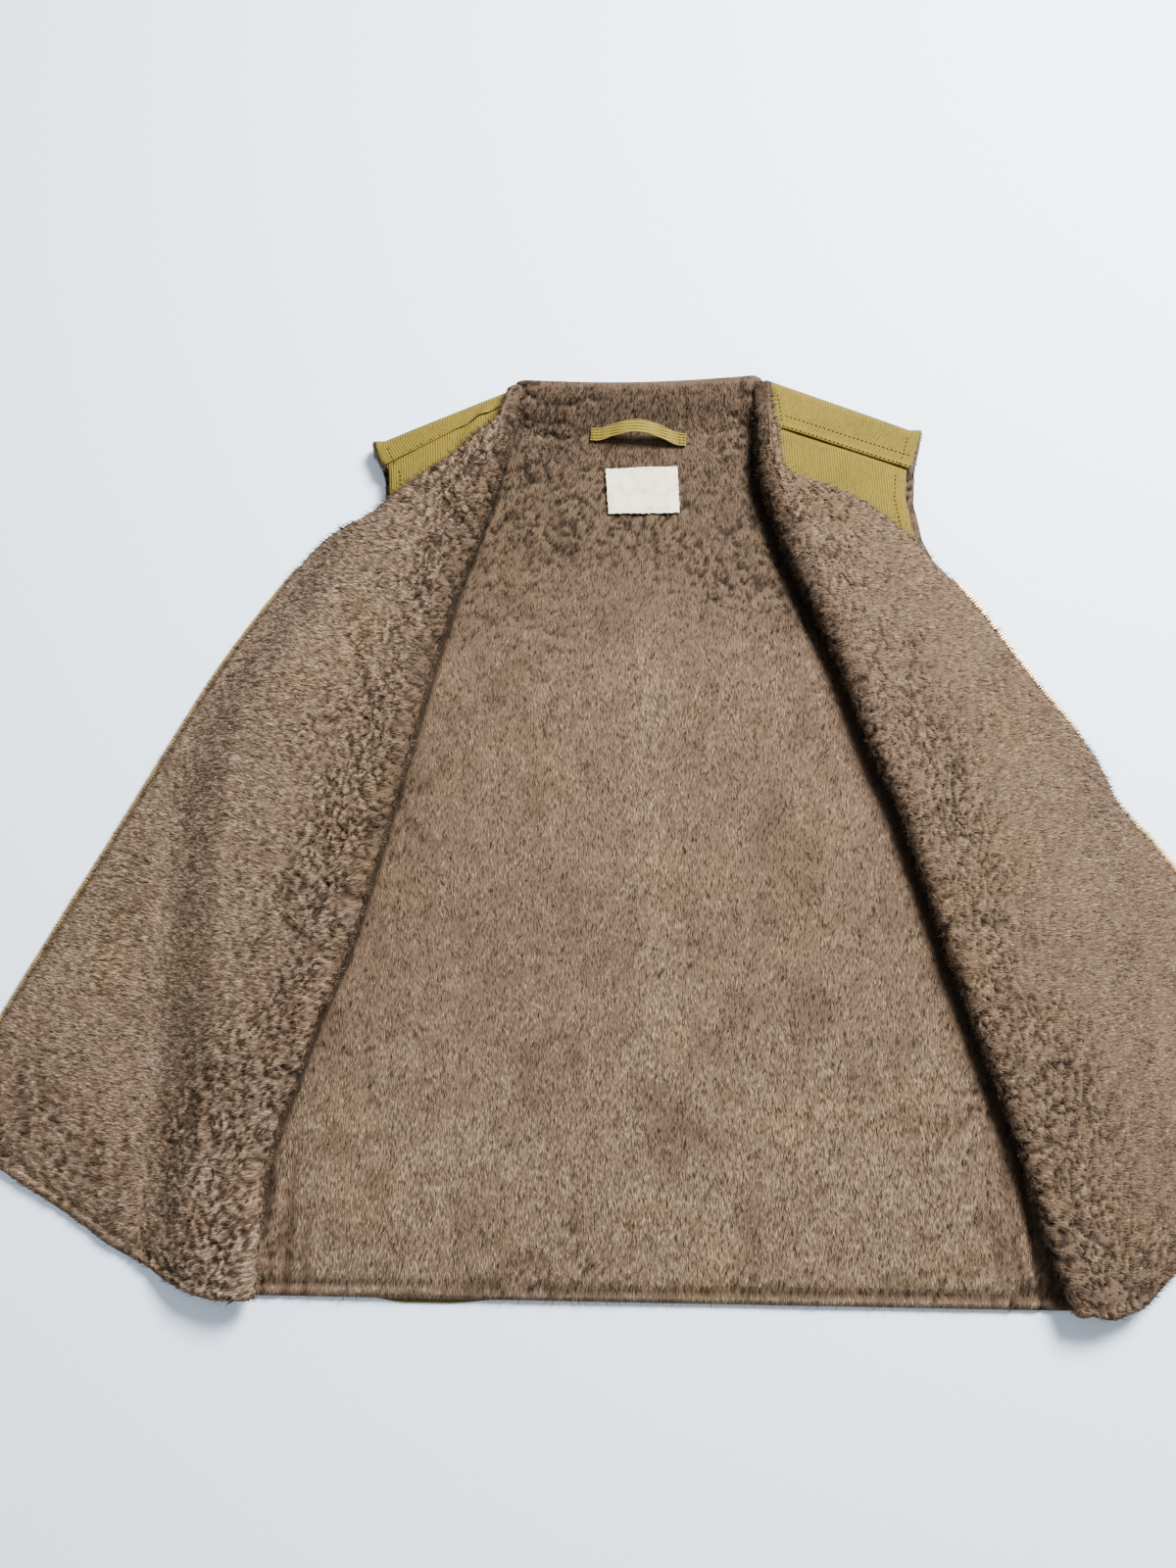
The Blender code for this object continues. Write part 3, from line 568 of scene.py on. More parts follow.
# The back's pile lining: the same wool, brushed down from the neck, standing up a little at the neck.
# It is cut to the hem, which is pressed flat along a row of stitching.
TIP_Y = 596.0
FALL = 0.41
EDGE_Y_BACK = [596, 578, 553, 520, 490, 465] + EDGE_Y[6:]


def back_sheet(bend_part, bends, across, rows, neck=(622, 60, 76, 80, 86)):
    """The back from the hem up to the shoulder bend and the neck; across runs from side to side, 0 to 1."""
    tips = [float(outline_x(s, TIP_Y)) - SIGN[s] * (EDGE_BEND + 0.1) for s in ("right", "left")]
    top_x = tips[0] + (tips[1] - tips[0]) * across
    tip = np.where(top_x < 0, -tips[0], tips[1])
    blend = smooth(neck[3], neck[4], np.abs(top_x))
    top_y = (641 + 3 * np.minimum(np.abs(top_x) / 82, 1) ** 2) * (1 - blend)
    top_y = top_y + (TIP_Y + FALL * (tip - np.abs(top_x))) * blend
    grid = []
    for r in rows:
        ends = []
        for s in ("right", "left"):
            hem_y = HEM_SLOPE * float(outline_x(s, 0))
            y = float(np.interp(r, range(19), [hem_y] + EDGE_Y_BACK[::-1]))
            share = float(bend_share(y))
            reach = bend(share, EDGE_BEND)[0]
            ends.append((float(outline_x(s, y)) - SIGN[s] * (float(reach) + LOW_Z * share), y, share,
                         (y - hem_y) / (TIP_Y - hem_y)))
        x = ends[0][0] + (ends[1][0] - ends[0][0]) * across
        v = ends[0][3] + (ends[1][3] - ends[0][3]) * across
        y = HEM_SLOPE * x + (top_y - HEM_SLOPE * x) * v
        z = LOW_Z + 13.0 * smooth(neck[0], 642, y) * (1 - smooth(neck[1], neck[2], np.abs(top_x)))
        wide = np.column_stack([x, y, z])
        sides = []
        for (x0, _, share, _), sign, col in ((ends[0], -1, 0), (ends[1], 1, -1)):
            reach, rise = bend(share, EDGE_BEND * bend_part * bends)
            edge = np.stack([x0 + sign * reach, np.full(len(bends), y[col]), LOW_Z + rise], 1)
            sides.append(edge if sign < 0 else edge[::-1])
        grid.append(np.vstack([sides[0], wide, sides[1]]))
    return np.array(grid)

def set_armholes(grid, steps, sheet_end=(0, 0)):
    """Above the armpits, move the three outer columns out by the steps, and both sides to where the photo
    shows them."""
    past = smooth(ARMPIT_Y + 20, ARMPIT_Y + 70, grid[:, :, 1])
    for col, sign, step in zip((0, 1, 2, -3, -2, -1), (-1, -1, -1, 1, 1, 1), (*steps, *steps[::-1])):
        grid[:, col, 0] += sign * past[:, col] * step
    x, y = grid[:, :, 0], grid[:, :, 1]
    shift = np.where(x < 0, -7.0, 3.0) * smooth(150, 185, np.abs(x)) * smooth(470, 520, y)
    if any(sheet_end):
        shift = shift * (1 - smooth(*sheet_end, y))
    grid[:, :, 0] -= shift


rows = np.concatenate([np.linspace(0, 16, 222)[:-1], np.linspace(16, 18, 40)])
sheet = back_sheet(0.6, np.array([1, 2 / 3, 1 / 3]), np.linspace(0, 1, 222), rows, (606, 85, 93, 86, 92))
# At the armholes the lining shows past the cloth, and at the neck it rolls up over the edge.
set_armholes(sheet, (5.5, 3.6, 1.8))
x, y = sheet[:, :, 0], sheet[:, :, 1]
at_neck = smooth(626, 642, y) * (1 - smooth(86, 92, np.abs(x)))
y += 3.4 * at_neck - 0.6 * smooth(17.0, 18.0, rows)[:, None]
up = normals_of(sheet)
from_hem = y - HEM_SLOPE * x
RIGHT_Y, LEFT_Y = [10, 99, 183, 320, 557, 633], [-14, 139, 322, 557, 633]
near_fold = np.minimum(np.abs(x - np.interp(y, RIGHT_Y, [-262, -256, -227, -180, -107, -85])),
                       np.abs(x - np.interp(y, LEFT_Y, [257, 217, 167, 85, 83])))
curl = 0.38 + 0.36 * smooth(400, 520, y) + 0.22 * hump(near_fold, 0, 40) + 0.20 * hump(from_hem, 0, 40)
curl = np.clip(curl * (1 + 0.45 * drift(x, y, 55, 41)), 0.15, 1.1)
fold_x = {s: np.interp(y, *zip(*[(b, a) for a, b in FOLD[s][::-1]])) for s in FOLD}
by_right = x - fold_x["right"]
by_left = fold_x["left"] - x
crease = np.maximum((1 - smooth(-1.5, 3.6, by_right)) * smooth(-5, 80, y), 1 - smooth(-1.0, 11.5, by_left))
crease = crease * (1 - smooth(580, 618, y))
crease = crease * smooth(-40, -22, np.minimum(by_right, by_left))
high = np.full(x.shape, PILE_T) - 0.2
high[:, :3] *= 0.75
high[:, -3:] *= 0.75
# Hem stitching and the gathers at the side seams press the pile down; the centre back's parting is only made
# lighter in colour.
high = high - 2.5 * hump(from_hem, HEM_ROW, 1.5)
high = high + 0.8 * drift(x, y, 85, 43) - 2.1 * crease
# The gathers' folds also get painted shade.
gather_shade = np.zeros(x.shape)
for sx, top, deep in ((-250.0, 120.0, 3.0), (-238.0, 95.0, 1.8), (242.0, 135.0, 2.9), (229.0, 115.0, 2.0)):
    lean_x = sx + 0.07 * y * (-1 if sx > 0 else 1)
    fold_line = hump(x, lean_x, 2.4) * (1 - smooth(top - 60, top, y))
    high = high - deep * fold_line
    gather_shade = gather_shade - 0.055 * deep * fold_line
from_neck = run_along(sheet, 0)[-1:] - run_along(sheet, 0)
from_edge = np.minimum(from_hem + 0.4, from_neck + 0.6)
height, light, lean = pile_shape(high, from_edge, x, -y, math.pi / 2, curl, size=7.6)
# Painted shade along the hem's pressed stitching row.
light = np.clip(light - 0.20 * hump(from_hem, HEM_ROW, 1.5), 0.03, 1)
# Along the centre back's parting the pile is made a little lighter, in random blotches darker, near the hem
# lighter and towards the neck darker.
parting = hump(x - 2 - 3 * drift(y, x, 60, 46), 0, 11.0) * smooth(60, 200, y) * (1 - smooth(430, 520, y))
blotch = smooth(0.25, 0.85, drift(x, y, 27, 45) + 0.35 * drift(x, y, 9, 47))
light = light + 0.045 * parting - 0.07 * blotch + gather_shade + 0.065 * (1 - smooth(60, 260, y))
light = light - 0.015 - 0.10 * smooth(415, 520, y) - 0.025 * smooth(560, 605, y)
# Painted shadow of the rolled fronts on the back beside the folds, darkest next to them.
light = np.clip(light - 0.07 - (0.34 + 0.20 * smooth(20, 180, y)) * crease ** 1.9, 0.02, 1)
lower = sheet + up * GAP
ob = pelt("pile_back", lower, up, height, light, np.stack([-y, x], -1), False, wool)
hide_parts("back_pile")
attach(ob, "vest")
for part, low, top, seed, count in (("lower", -50, 270, 51, 28000), ("upper", 270, 700, 52, 25000)):
    keep = ((y >= low) & (y < top)).astype(float)
    inside = (x > np.interp(y, RIGHT_Y, [-268, -262, -233, -188, -115, -92]))
    inside &= (x < np.interp(y, LEFT_Y, [264, 226, 176, 95, 92]))
    at_armhole = 0.6 * ((y > ARMPIT_Y + 30) & (y < top) & (y >= low))
    keep *= inside
    keep[:, :4] = at_armhole[:, :4]
    keep[:, -4:] = at_armhole[:, -4:]
    keep *= (1 + 1.6 * smooth(530, 600, y)) * (0.12 + 0.88 * smooth(1.5, 6.5, from_hem))
    ob = tufts("wool_back_" + part, count, seed, lower, up, height, light, lean, -math.pi / 2,
               length=5.6, stand=0.24, keep=keep)
    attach(ob, "vest")

# The outer cloth: olive ribbed cotton, cut with its ribs down the fronts. The fronts run from the shoulder
# seam under the folded flaps; the back goes over the shoulders as a yoke, its ribs on the slant.
SHELL_T = 1.2
SEAM = {"right": ((-190, 581), (-93, 632)), "left": ((198, 570), (95, 609))}


FELL = 1.2  # the yoke's edge lies this much below the seam's line


def seam_y(side, x):
    """The shoulder seam's line."""
    (xa, ya), (xb, yb) = SEAM[side]
    return ya + (yb - ya) * (x - xa) / (xb - xa)


def rib_material(name, colour, pitch):
    """Ribbed cotton: ribs along the UV map's y, with painted shade in the grooves between them, slubs in the
    yarn and slightly faded patches.
    """
    mat = new_material(name, {"Roughness": 0.78, "Specular IOR Level": 0.2, "Sheen Weight": 0.04})
    uv, slub = stretched_noise(mat, "rib", (900.0, 260.0, 1.0), 4.0)
    across = feed(mat, "SeparateXYZ", "X", {"Vector": uv})
    turn = feed(mat, "Math", 0, {0: across, 1: 2 * math.pi / pitch}, operation="MULTIPLY")
    wave = feed(mat, "Math", 0, {0: turn}, operation="SINE")
    half = feed(mat, "Math", 0, {0: wave, 1: 0.5, 2: 0.5}, operation="MULTIPLY_ADD")
    rough = feed(mat, "Math", 0, {0: slub, 1: 0.9, 2: half}, operation="MULTIPLY_ADD")
    # The colour follows the ribs and the slubs: painted shade in the grooves between the ribs, and the slubs'
    # own uneven tone.
    rib_shade_and_slubs = dye(mat, rough, ((0.25, [c * 0.22 for c in colour]), (1.25 / 1.5, [c * 1.36 for c in colour])))
    fade = feed(mat, "TexNoise", "Fac", {"Vector": feed(mat, "TexCoord", "Object"), "Scale": 22.0})
    worn = dye(mat, fade, ((0.3, (0.84, 0.86, 0.84)), (0.7, (1.08, 1.05, 1.0))))
    surface(mat, {"Base Color": over_dye(mat, rib_shade_and_slubs, worn), "Normal": relief(mat, rough, 0.8, 0.0004)})
    return mat


ribbed = rib_material("ribbed_cloth", (0.107, 0.0765, 0.0062), 0.0018)


def tuck(x, y):
    """Height of the small tuck in the cloth beside the wearer's right neck edge."""
    a, b = np.array([-132.0, 598.0]), np.array([-111.0, 628.0])
    way = unit(b - a)
    along = (x - a[0]) * way[0] + (y - a[1]) * way[1]
    off = (x - a[0]) * way[1] - (y - a[1]) * way[0]
    span = smooth(-6, 4, along) * (1 - smooth(30, 46, along))
    return span * (3.2 * hump(off, 1.5, 2.4) - hump(off, -3.5, 2.2))


def cloth(name, upper, normals, thickness, flip, slant, mat, keep=None, rib_across=None):
    """A thin closed sheet below the given surface, its ribs turned by slant from the hem-to-neck line, or
    counted by rib_across."""
    rows, cols = upper.shape[:2]
    under = upper - normals * thickness
    points = np.concatenate([upper.reshape(-1, 3), under.reshape(-1, 3)]) + SHIFT
    index = np.arange(rows * cols).reshape(rows, cols)
    face = np.stack([index[:-1, :-1], index[:-1, 1:], index[1:, 1:], index[1:, :-1]], -1)
    live = np.ones((rows - 1, cols - 1), bool) if keep is None else keep
    edges = []
    pad = np.pad(live, 1)
    for dj, di, a, b in ((-1, 0, 0, 1), (0, 1, 1, 2), (1, 0, 2, 3), (0, -1, 3, 0)):
        open_side = live & ~pad[1 + dj:rows + dj, 1 + di:cols + di]
        quad = face[open_side]
        edges.append(np.stack([quad[:, b], quad[:, a]], 1))
    edge = np.concatenate(edges)
    n = rows * cols
    wall = np.stack([edge[:, 0], edge[:, 1], edge[:, 1] + n, edge[:, 0] + n], -1)
    face = face[live]
    faces = np.concatenate([face, face[:, ::-1] + n, wall])
    if flip:
        faces = faces[:, ::-1]
    used = np.unique(faces)
    renumber = np.zeros(2 * n, np.int64)
    renumber[used] = np.arange(len(used))
    ob = mesh_piece(name, points[used] * MM, renumber[faces], mat)
    flat = upper.reshape(-1, 3)
    c, s = math.cos(slant), math.sin(slant)
    uv = np.stack([flat[:, 0] * c + flat[:, 1] * s, -flat[:, 0] * s + flat[:, 1] * c], 1)
    if rib_across is not None:
        uv[:, 0] = rib_across.ravel()
    lay_uv(ob, "rib", np.concatenate([uv, uv])[used])
    return ob


for side in ("right", "left"):
    rows = np.concatenate([np.linspace(0, 6, 52)[:-1], np.linspace(6, 18, 18)])
    places = (np.array([1, 2 / 3, 1 / 3]), np.linspace(0, 1, 36), np.radians(np.linspace(0, 180, 7)[1:]),
              np.linspace(0, 1, 13)[1:])
    sheet, _, _ = front_sheet(side, rows, 1.0, *places)
    # The cloth starts at the shoulder seam and stops short of the zip edge, where the tape is.
    for i in range(sheet.shape[1]):
        column = sheet[:, i].copy()
        probe = sheet[:, min(i, 38)]
        over = probe[:, 1] - seam_y(side, probe[:, 0])
        first = float(np.interp(0, -over[:40], np.arange(40.0)))
        last = len(rows) - 1.0
        at = first + (last - first) * np.arange(len(rows)) / last
        sheet[:, i] = between(at, np.arange(len(rows)), column)
    up = normals_of(sheet, side)
    rim_gap = np.where(rows < 6, 1.5, 7.6)
    for j in range(len(rows)):
        reach = sheet[j, -1] - sheet[j, -7]
        share = 1 - rim_gap[j] / max(np.linalg.norm(reach), rim_gap[j] * 2)
        sheet[j, -6:] = sheet[j, -7] + (sheet[j, -6:] - sheet[j, -7]) * share
    x, y = sheet[:, :, 0], sheet[:, :, 1]
    ply = slice(0, 39)
    swell = np.zeros(x.shape)
    inner = smooth(0, 14, np.abs(x - x[:, :1])) * smooth(0, 12, seam_y(side, x) - y)
    swell[:, ply] = (0.9 * drift(x, y, 46, 61) + 0.45 * drift(x, y, 15, 62))[:, ply] * inner[:, ply]
    swell[:, ply] += tuck(x, y)[:, ply]
    sheet[:, :, 2] += swell
    ob = cloth("cloth_front_" + side, sheet - up * GAP, up, SHELL_T, side == "left", 0.03, ribbed)
    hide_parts("front_shell_" + side)
    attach(ob, "vest")

across = np.concatenate([np.linspace(0, 0.25, 31), np.linspace(0.27, 0.73, 14), np.linspace(0.75, 1, 31)])
rows = np.concatenate([np.linspace(0, 16, 30)[:-1], np.linspace(16, 18, 10)])
flat_part = back_sheet(1.0, np.array([1, 2 / 3, 1 / 3]), across, rows)
set_armholes(flat_part, (-3.6, -2.4, -1.2), (584, 594))
wrap_arc, wrap_forward = 12, 22
extra = []
mid_z = (LOW_Z + FRONT_Z) / 2
last = flat_part[-1]
# For a hand's width the cloth shows below the pile at the hem.
hem_x = flat_part[0, :, 0]
flat_part[0, :, 1] -= 2.9 * smooth(-196, -170, hem_x) * (1 - smooth(-140, -112, hem_x))
end_x = np.where(last[:, 0] < 0, last[0, 0], last[-1, 0])
for k in range(1, wrap_arc + wrap_forward + 1):
    line = last.copy()
    a = math.pi * min(k, wrap_arc) / wrap_arc
    line[:, 1] = last[:, 1] + BEND_R * math.sin(a)
    line[:, 2] = mid_z - BEND_R * math.cos(a)
    f = max(k - wrap_arc, 0) / wrap_forward
    near_end = smooth(0, 1, 1 - (np.abs(end_x) - np.abs(last[:, 0])) / 38)
    draw_in = 1.5 * min(k, wrap_arc) / wrap_arc + np.where(last[:, 0] < 0, 6.5, 9.5) * f
    line[:, 0] -= np.sign(end_x) * near_end * draw_in
    for s, on_side in (("right", last[:, 0] < 0), ("left", last[:, 0] >= 0)):
        to = last[:, 1] + (np.minimum(seam_y(s, line[:, 0]) - FELL, last[:, 1] - 2) - last[:, 1]) * f
        if f > 0:
            line[:, 1] = np.where(on_side, to, line[:, 1])
    line[:, 2] += 1.45 * float(smooth(0.82, 0.92, f))
    ripple = 0.5 * drift(line[:, 0], line[:, 1], 24, 63) + 0.3 * drift(line[:, 0], line[:, 1], 9, 64)
    line[:, 2] += f ** 0.5 * (ripple + tuck(line[:, 0], line[:, 1]))
    extra.append(line)
sheet = np.vstack([flat_part, np.array(extra)])
up = normals_of(sheet)
live = np.ones((sheet.shape[0] - 1, sheet.shape[1] - 1), bool)
mid_x = 0.5 * (last[:-1, 0] + last[1:, 0])
live[len(rows) - 1:, :] = ((mid_x < -89.5) | (mid_x > 96.0))[None, :]
turned_in = np.minimum(sheet[:, :, 1] - last[None, :, 1], 0) * (np.arange(len(sheet)) >= len(rows))[:, None]
rib_count = sheet[:, :, 0] - 0.556 * np.sign(last[None, :, 0]) * turned_in
ob = cloth("cloth_back", sheet - up * GAP, up, SHELL_T, False, 0, ribbed, live, rib_count)
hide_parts("back_shell")
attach(ob, "vest")
yoke = sheet[len(rows) - 1:]

# Seam stitches on the shoulders: lockstitch in olive thread, over the felled shoulder seam, in a second row
# above it, and 8 mm in from the armholes. Each stitch is a small pointed grain laid on the cloth.
UPWARD = np.array([0, 0, 1.0])
thread = new_material("olive_thread", {"Roughness": 0.8, "Specular IOR Level": 0.05})
grain = feed(thread, "TexNoise", "Fac", {"Scale": 1500.0})
colour = dye(thread, grain, ((0.0, (0.012, 0.008, 0.002)), (1.0, (0.045, 0.031, 0.008))))
surface(thread, {"Base Color": colour})


def stitches(path, up, pitch=3.2, long=2.4, radius=0.6):
    """Grains along a path of points: six corners and eight faces each."""
    s = lengths(path)
    at = np.arange(pitch / 2, s[-1] - pitch / 2, pitch)
    mid = between(at, s, path)
    way = unit(between(at + 0.5, s, path) - between(at - 0.5, s, path))
    side = unit(np.cross(way, up))
    top = np.cross(side, way)
    half = long / 2
    points = np.stack([mid - way * half, mid + way * half, mid + side * radius, mid + top * radius,
                       mid - side * radius, mid - top * radius], 1)
    first = np.arange(len(mid))[:, None, None] * 6
    ring = [2, 3, 4, 5]
    tri = []
    for k in range(4):
        a, b = ring[k], ring[(k + 1) % 4]
        tri += [(0, a, b), (1, b, a)]
    return points.reshape(-1, 3), (first + np.array(tri)[None]).reshape(-1, 3)


def surface_z(grid, x, y):
    """Height of the nearest point of a sheet."""
    flat = grid.reshape(-1, 3)
    out = [flat[np.argmin((flat[:, 0] - a) ** 2 + (flat[:, 1] - b) ** 2), 2] for a, b in zip(x, y)]
    return np.array(out)


def sew(name, rows_of_stitches):
    """One piece of thread from several rows of stitches."""
    points, faces, start = [], [], 0
    for p, f in rows_of_stitches:
        points.append(p)
        faces.append(f + start)
        start += len(p)
    return mesh_piece(name, (np.concatenate(points) + SHIFT) * MM, np.concatenate(faces), thread)


def sew_on_yoke(x, y):
    z = surface_z(yoke[wrap_arc:], x, y) + GAP + SHELL_T + 0.12
    return stitches(np.stack([x, y, z], 1), UPWARD)


ARMHOLE_ROW = 8.5
sewn = []
for s, rows_above in (("right", (1.6,)), ("left", (1.6, 11.0))):
    (xa, ya), (xb, yb) = SEAM[s]
    for above in rows_above:
        inset = 9.0 if above > 5 else 0.0
        x = np.linspace(xa - 2.0 * SIGN[s], xb + SIGN[s] * (1.0 + inset), 60)
        sewn.append(sew_on_yoke(x, seam_y(s, x) + above - FELL))
    # The armhole's row goes over the yoke and down the front.
    line = yoke[wrap_arc:, 0 if s == "right" else -1]
    sewn.append(sew_on_yoke(line[:, 0] - SIGN[s] * ARMHOLE_ROW, line[:, 1]))
    y = np.linspace(ya - 3, 505, 50)
    x = np.array([float(outline_x(s, b)) for b in y]) - SIGN[s] * 18.0
    z = np.full(len(x), FRONT_Z + GAP + SHELL_T + 0.2)
    sewn.append(stitches(np.stack([x, y, z], 1), UPWARD))
    if s == "left":
        # The left yoke has a row beside the neck.
        y = np.linspace(seam_y(s, xb + 8) + 1, 634, 20)
        sewn.append(sew_on_yoke(np.linspace(xb + 9.5, xb + 6.5, 20), y))
ob = sew("shoulder_stitches", sewn)
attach(ob, "vest")

# Pile that stands out at the armholes between the two shoulders' cloth edges: the lining of the folded
# shoulder, seen edge on.
pick = np.random.default_rng(77)
roots, tips = [], []
for s in ("right", "left"):
    col = 0 if s == "right" else -1
    count = 1500
    f = pick.random(count)
    k = f * (len(yoke) - 1)
    line = between(k, np.arange(len(yoke)), yoke[:, col])
    drop = np.where(k < wrap_arc, 0, 1) * (1.0 + 5.0 * pick.random(count))
    inward = SIGN[s] * 2.5 * np.ones(count)
    root = line - np.stack([inward, 0.5 * np.sin(np.pi * np.minimum(k / wrap_arc, 1)), drop], 1)
    outward = SIGN[s] * (3.6 + 2.2 * pick.random(count))
    out = np.stack([outward, pick.normal(0, 1.2, count), pick.normal(-0.4, 0.9, count)], 1)
    roots.append(root)
    tips.append(root + out)
roots, tips = np.concatenate(roots), np.concatenate(tips)
tips[:, 2] = np.maximum(tips[:, 2], 0.4)
way = tips - roots
sideways = unit(np.cross(way, UPWARD))
upward = unit(np.cross(sideways, way))
lock_light_and_tone = np.clip(0.80 + pick.normal(0, 0.17, len(roots)), 0.05, 1)
ob = spikes("wool_armholes", roots, tips, sideways, upward, 0.42, lock_light_and_tone, wool)
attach(ob, "vest")

# The size label: a bare piece of cream woven cotton, slightly rippled and frayed at its cut edges. It is
# sewn by its edges to the pile, below the hanger loop.
linen = new_material("label_cloth", {"Roughness": 0.85})
where = feed(linen, "TexCoord", "Object")
threads = []
for axis, pitch in (("X", 0.00055), ("Y", 0.0007)):
    threads.append(feed(linen, "TexWave", "Fac", {"Vector": where, "Scale": 0.314 / pitch, "Distortion": 1.2,
                                                  "Detail": 1.0}, bands_direction=axis))
weave = feed(linen, "Math", 0, {0: threads[0], 1: threads[1]}, operation="ADD")
stain = feed(linen, "TexNoise", "Fac", {"Vector": where, "Scale": 120.0, "Detail": 5.0})
# The weave darkens the cloth between its threads, which is painted shade, over the stains' uneven tone.
mixed = feed(linen, "Math", 0, {0: weave, 1: 0.22, 2: stain}, operation="MULTIPLY_ADD")
surface(linen, {"Base Color": dye(linen, mixed, ((0.42, (0.46, 0.385, 0.24)), (0.80, (0.82, 0.76, 0.56)))),
                "Normal": relief(linen, weave, 0.6, 0.0002)})
PILE_TOP = LOW_Z + GAP + PILE_T
corner = np.array([(-24.5, 544), (27, 543.5), (-26, 579), (27, 580)], float)
u, v = np.meshgrid(np.linspace(0, 1, 54), np.linspace(0, 1, 38))
flat = (corner[0] * (1 - u[..., None]) + corner[1] * u[..., None]) * (1 - v[..., None]) \
    + (corner[2] * (1 - u[..., None]) + corner[3] * u[..., None]) * v[..., None]
fray = 0.45 * drift(flat[..., 0], flat[..., 1], 1.6, 71)
rim = np.minimum(np.minimum(u, 1 - u) * 53, np.minimum(v, 1 - v) * 37) < 0.5
flat[..., 0] += np.where(rim, fray, 0)
flat[..., 1] += np.where(rim, 0.45 * drift(flat[..., 1], flat[..., 0], 1.6, 72), 0)
z = PILE_TOP + 0.62 + 0.38 * drift(flat[..., 0], flat[..., 1], 11, 73) + 0.25 * np.sin(u * 9 + v * 3)
grid = np.dstack([flat, z])
# Caught down by its stitches all round, 1.5 mm in.
inset = np.minimum(np.minimum(u, 1 - u) * 53, np.minimum(v, 1 - v) * 36)
grid[..., 2] -= 0.22 * hump(inset, 1.8, 0.8)
up = np.tile(UPWARD, (38, 54, 1))
LABEL_T = 0.35
label = cloth("size_label_cloth", grid + up * LABEL_T, up, LABEL_T, False, 0, linen)
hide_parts("size_label")
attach(label, "vest")

# The hanger loop: olive ribbed tape folded in three, with raised ribs along it. It stands in an arch
# between its two ends, which are sewn down to the lining at the neck.
end_a, end_b = np.array([-36.0, 606.5]), np.array([34.0, 600.5])
way = unit(end_b - end_a)
side_way = np.array([-way[1], way[0]])
u, w = np.meshgrid(np.linspace(0, 1, 60), np.linspace(-1, 1, 25))
arch = np.sin(math.pi * np.clip((u - 0.08) / 0.84, 0, 1)) ** 1.2
rib = 0.24 * np.cos(w * math.pi * 4.5) + 0.10 * np.cos(w * math.pi * 4.5) * np.cos(u * 210)
flat = end_a + way * (u * np.linalg.norm(end_b - end_a))[..., None] + side_way * (w * 5.0)[..., None]
z = PILE_TOP + 0.3 + 10.0 * arch + 0.25 + rib * (1 - smooth(0.9, 1.0, np.abs(w)))
grid = np.dstack([flat[..., 0], flat[..., 1] + 4 * arch, z + 0.95])
up = normals_of(grid)
up = np.where(up[..., 2:] < 0, -up, up)
tape_look = rib_material("loop_tape", (0.125, 0.092, 0.011), 0.00225)
LOOP_T = 1.2
loop = cloth("hanger_loop_tape", grid, up, LOOP_T, False, math.pi / 2 + math.atan2(way[1], way[0]), tape_look)
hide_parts("hanger_loop")
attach(loop, "vest")
sewn = []
for at in (0.025, 0.065, 0.935, 0.975):
    middle = end_a + (end_b - end_a) * at
    line = np.linspace(middle - side_way * 4.6, middle + side_way * 4.6, 12)
    sewn.append(stitches(np.column_stack([line, np.full(12, PILE_TOP + 1.85)]), UPWARD, 1.8, 1.5, 0.26))
ob = sew("loop_stitches", sewn)
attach(ob, "vest")

# The zip: a woven olive tape under each front edge with brass teeth clamped along its free edge. The tooth is
# modelled once and repeated every 2 mm.
tape_cloth = rib_material("zip_tape_cloth", (0.17, 0.12, 0.03), 0.0011)
TOOTH_PITCH = 2.0
TAPE_T = 0.7
brass = new_material("worn_brass", {"Metallic": 1.0})
where = feed(brass, "TexCoord", "Object")
wear = feed(brass, "TexNoise", "Fac", {"Vector": where, "Scale": 900.0, "Detail": 6.0})
gloss = feed(brass, "MapRange", "Result", {"Value": wear, "To Min": 0.48, "To Max": 0.26})
surface(brass, {"Base Color": dye(brass, wear, ((0.28, (0.44, 0.28, 0.09)), (0.70, (0.82, 0.61, 0.27)))),
                "Roughness": gloss})

bpy.ops.object.select_all(action="DESELECT")
bpy.ops.mesh.primitive_cube_add(size=1.0)
tooth = bpy.context.object
tooth.scale = (4.0, 1.15, 2.0)
bpy.ops.object.transform_apply(location=False, rotation=False, scale=True)
bpy.ops.object.mode_set(mode="EDIT")
bpy.ops.mesh.select_all(action="SELECT")
bpy.ops.mesh.bevel(offset=0.32, segments=1, affect="EDGES")
bpy.ops.object.mode_set(mode="OBJECT")
tooth_points = np.array([v.co[:] for v in tooth.data.vertices])
# Narrower towards the head, with a dimple's width between the legs.
tooth_points[:, 1] *= 1 - 0.25 * smooth(0.2, 2.0, tooth_points[:, 0])
tooth_faces = {3: [], 4: [], 5: [], 6: []}
for f in tooth.data.polygons:
    tooth_faces[len(f.vertices)].append(list(f.vertices))
bpy.data.objects.remove(tooth, do_unlink=True)

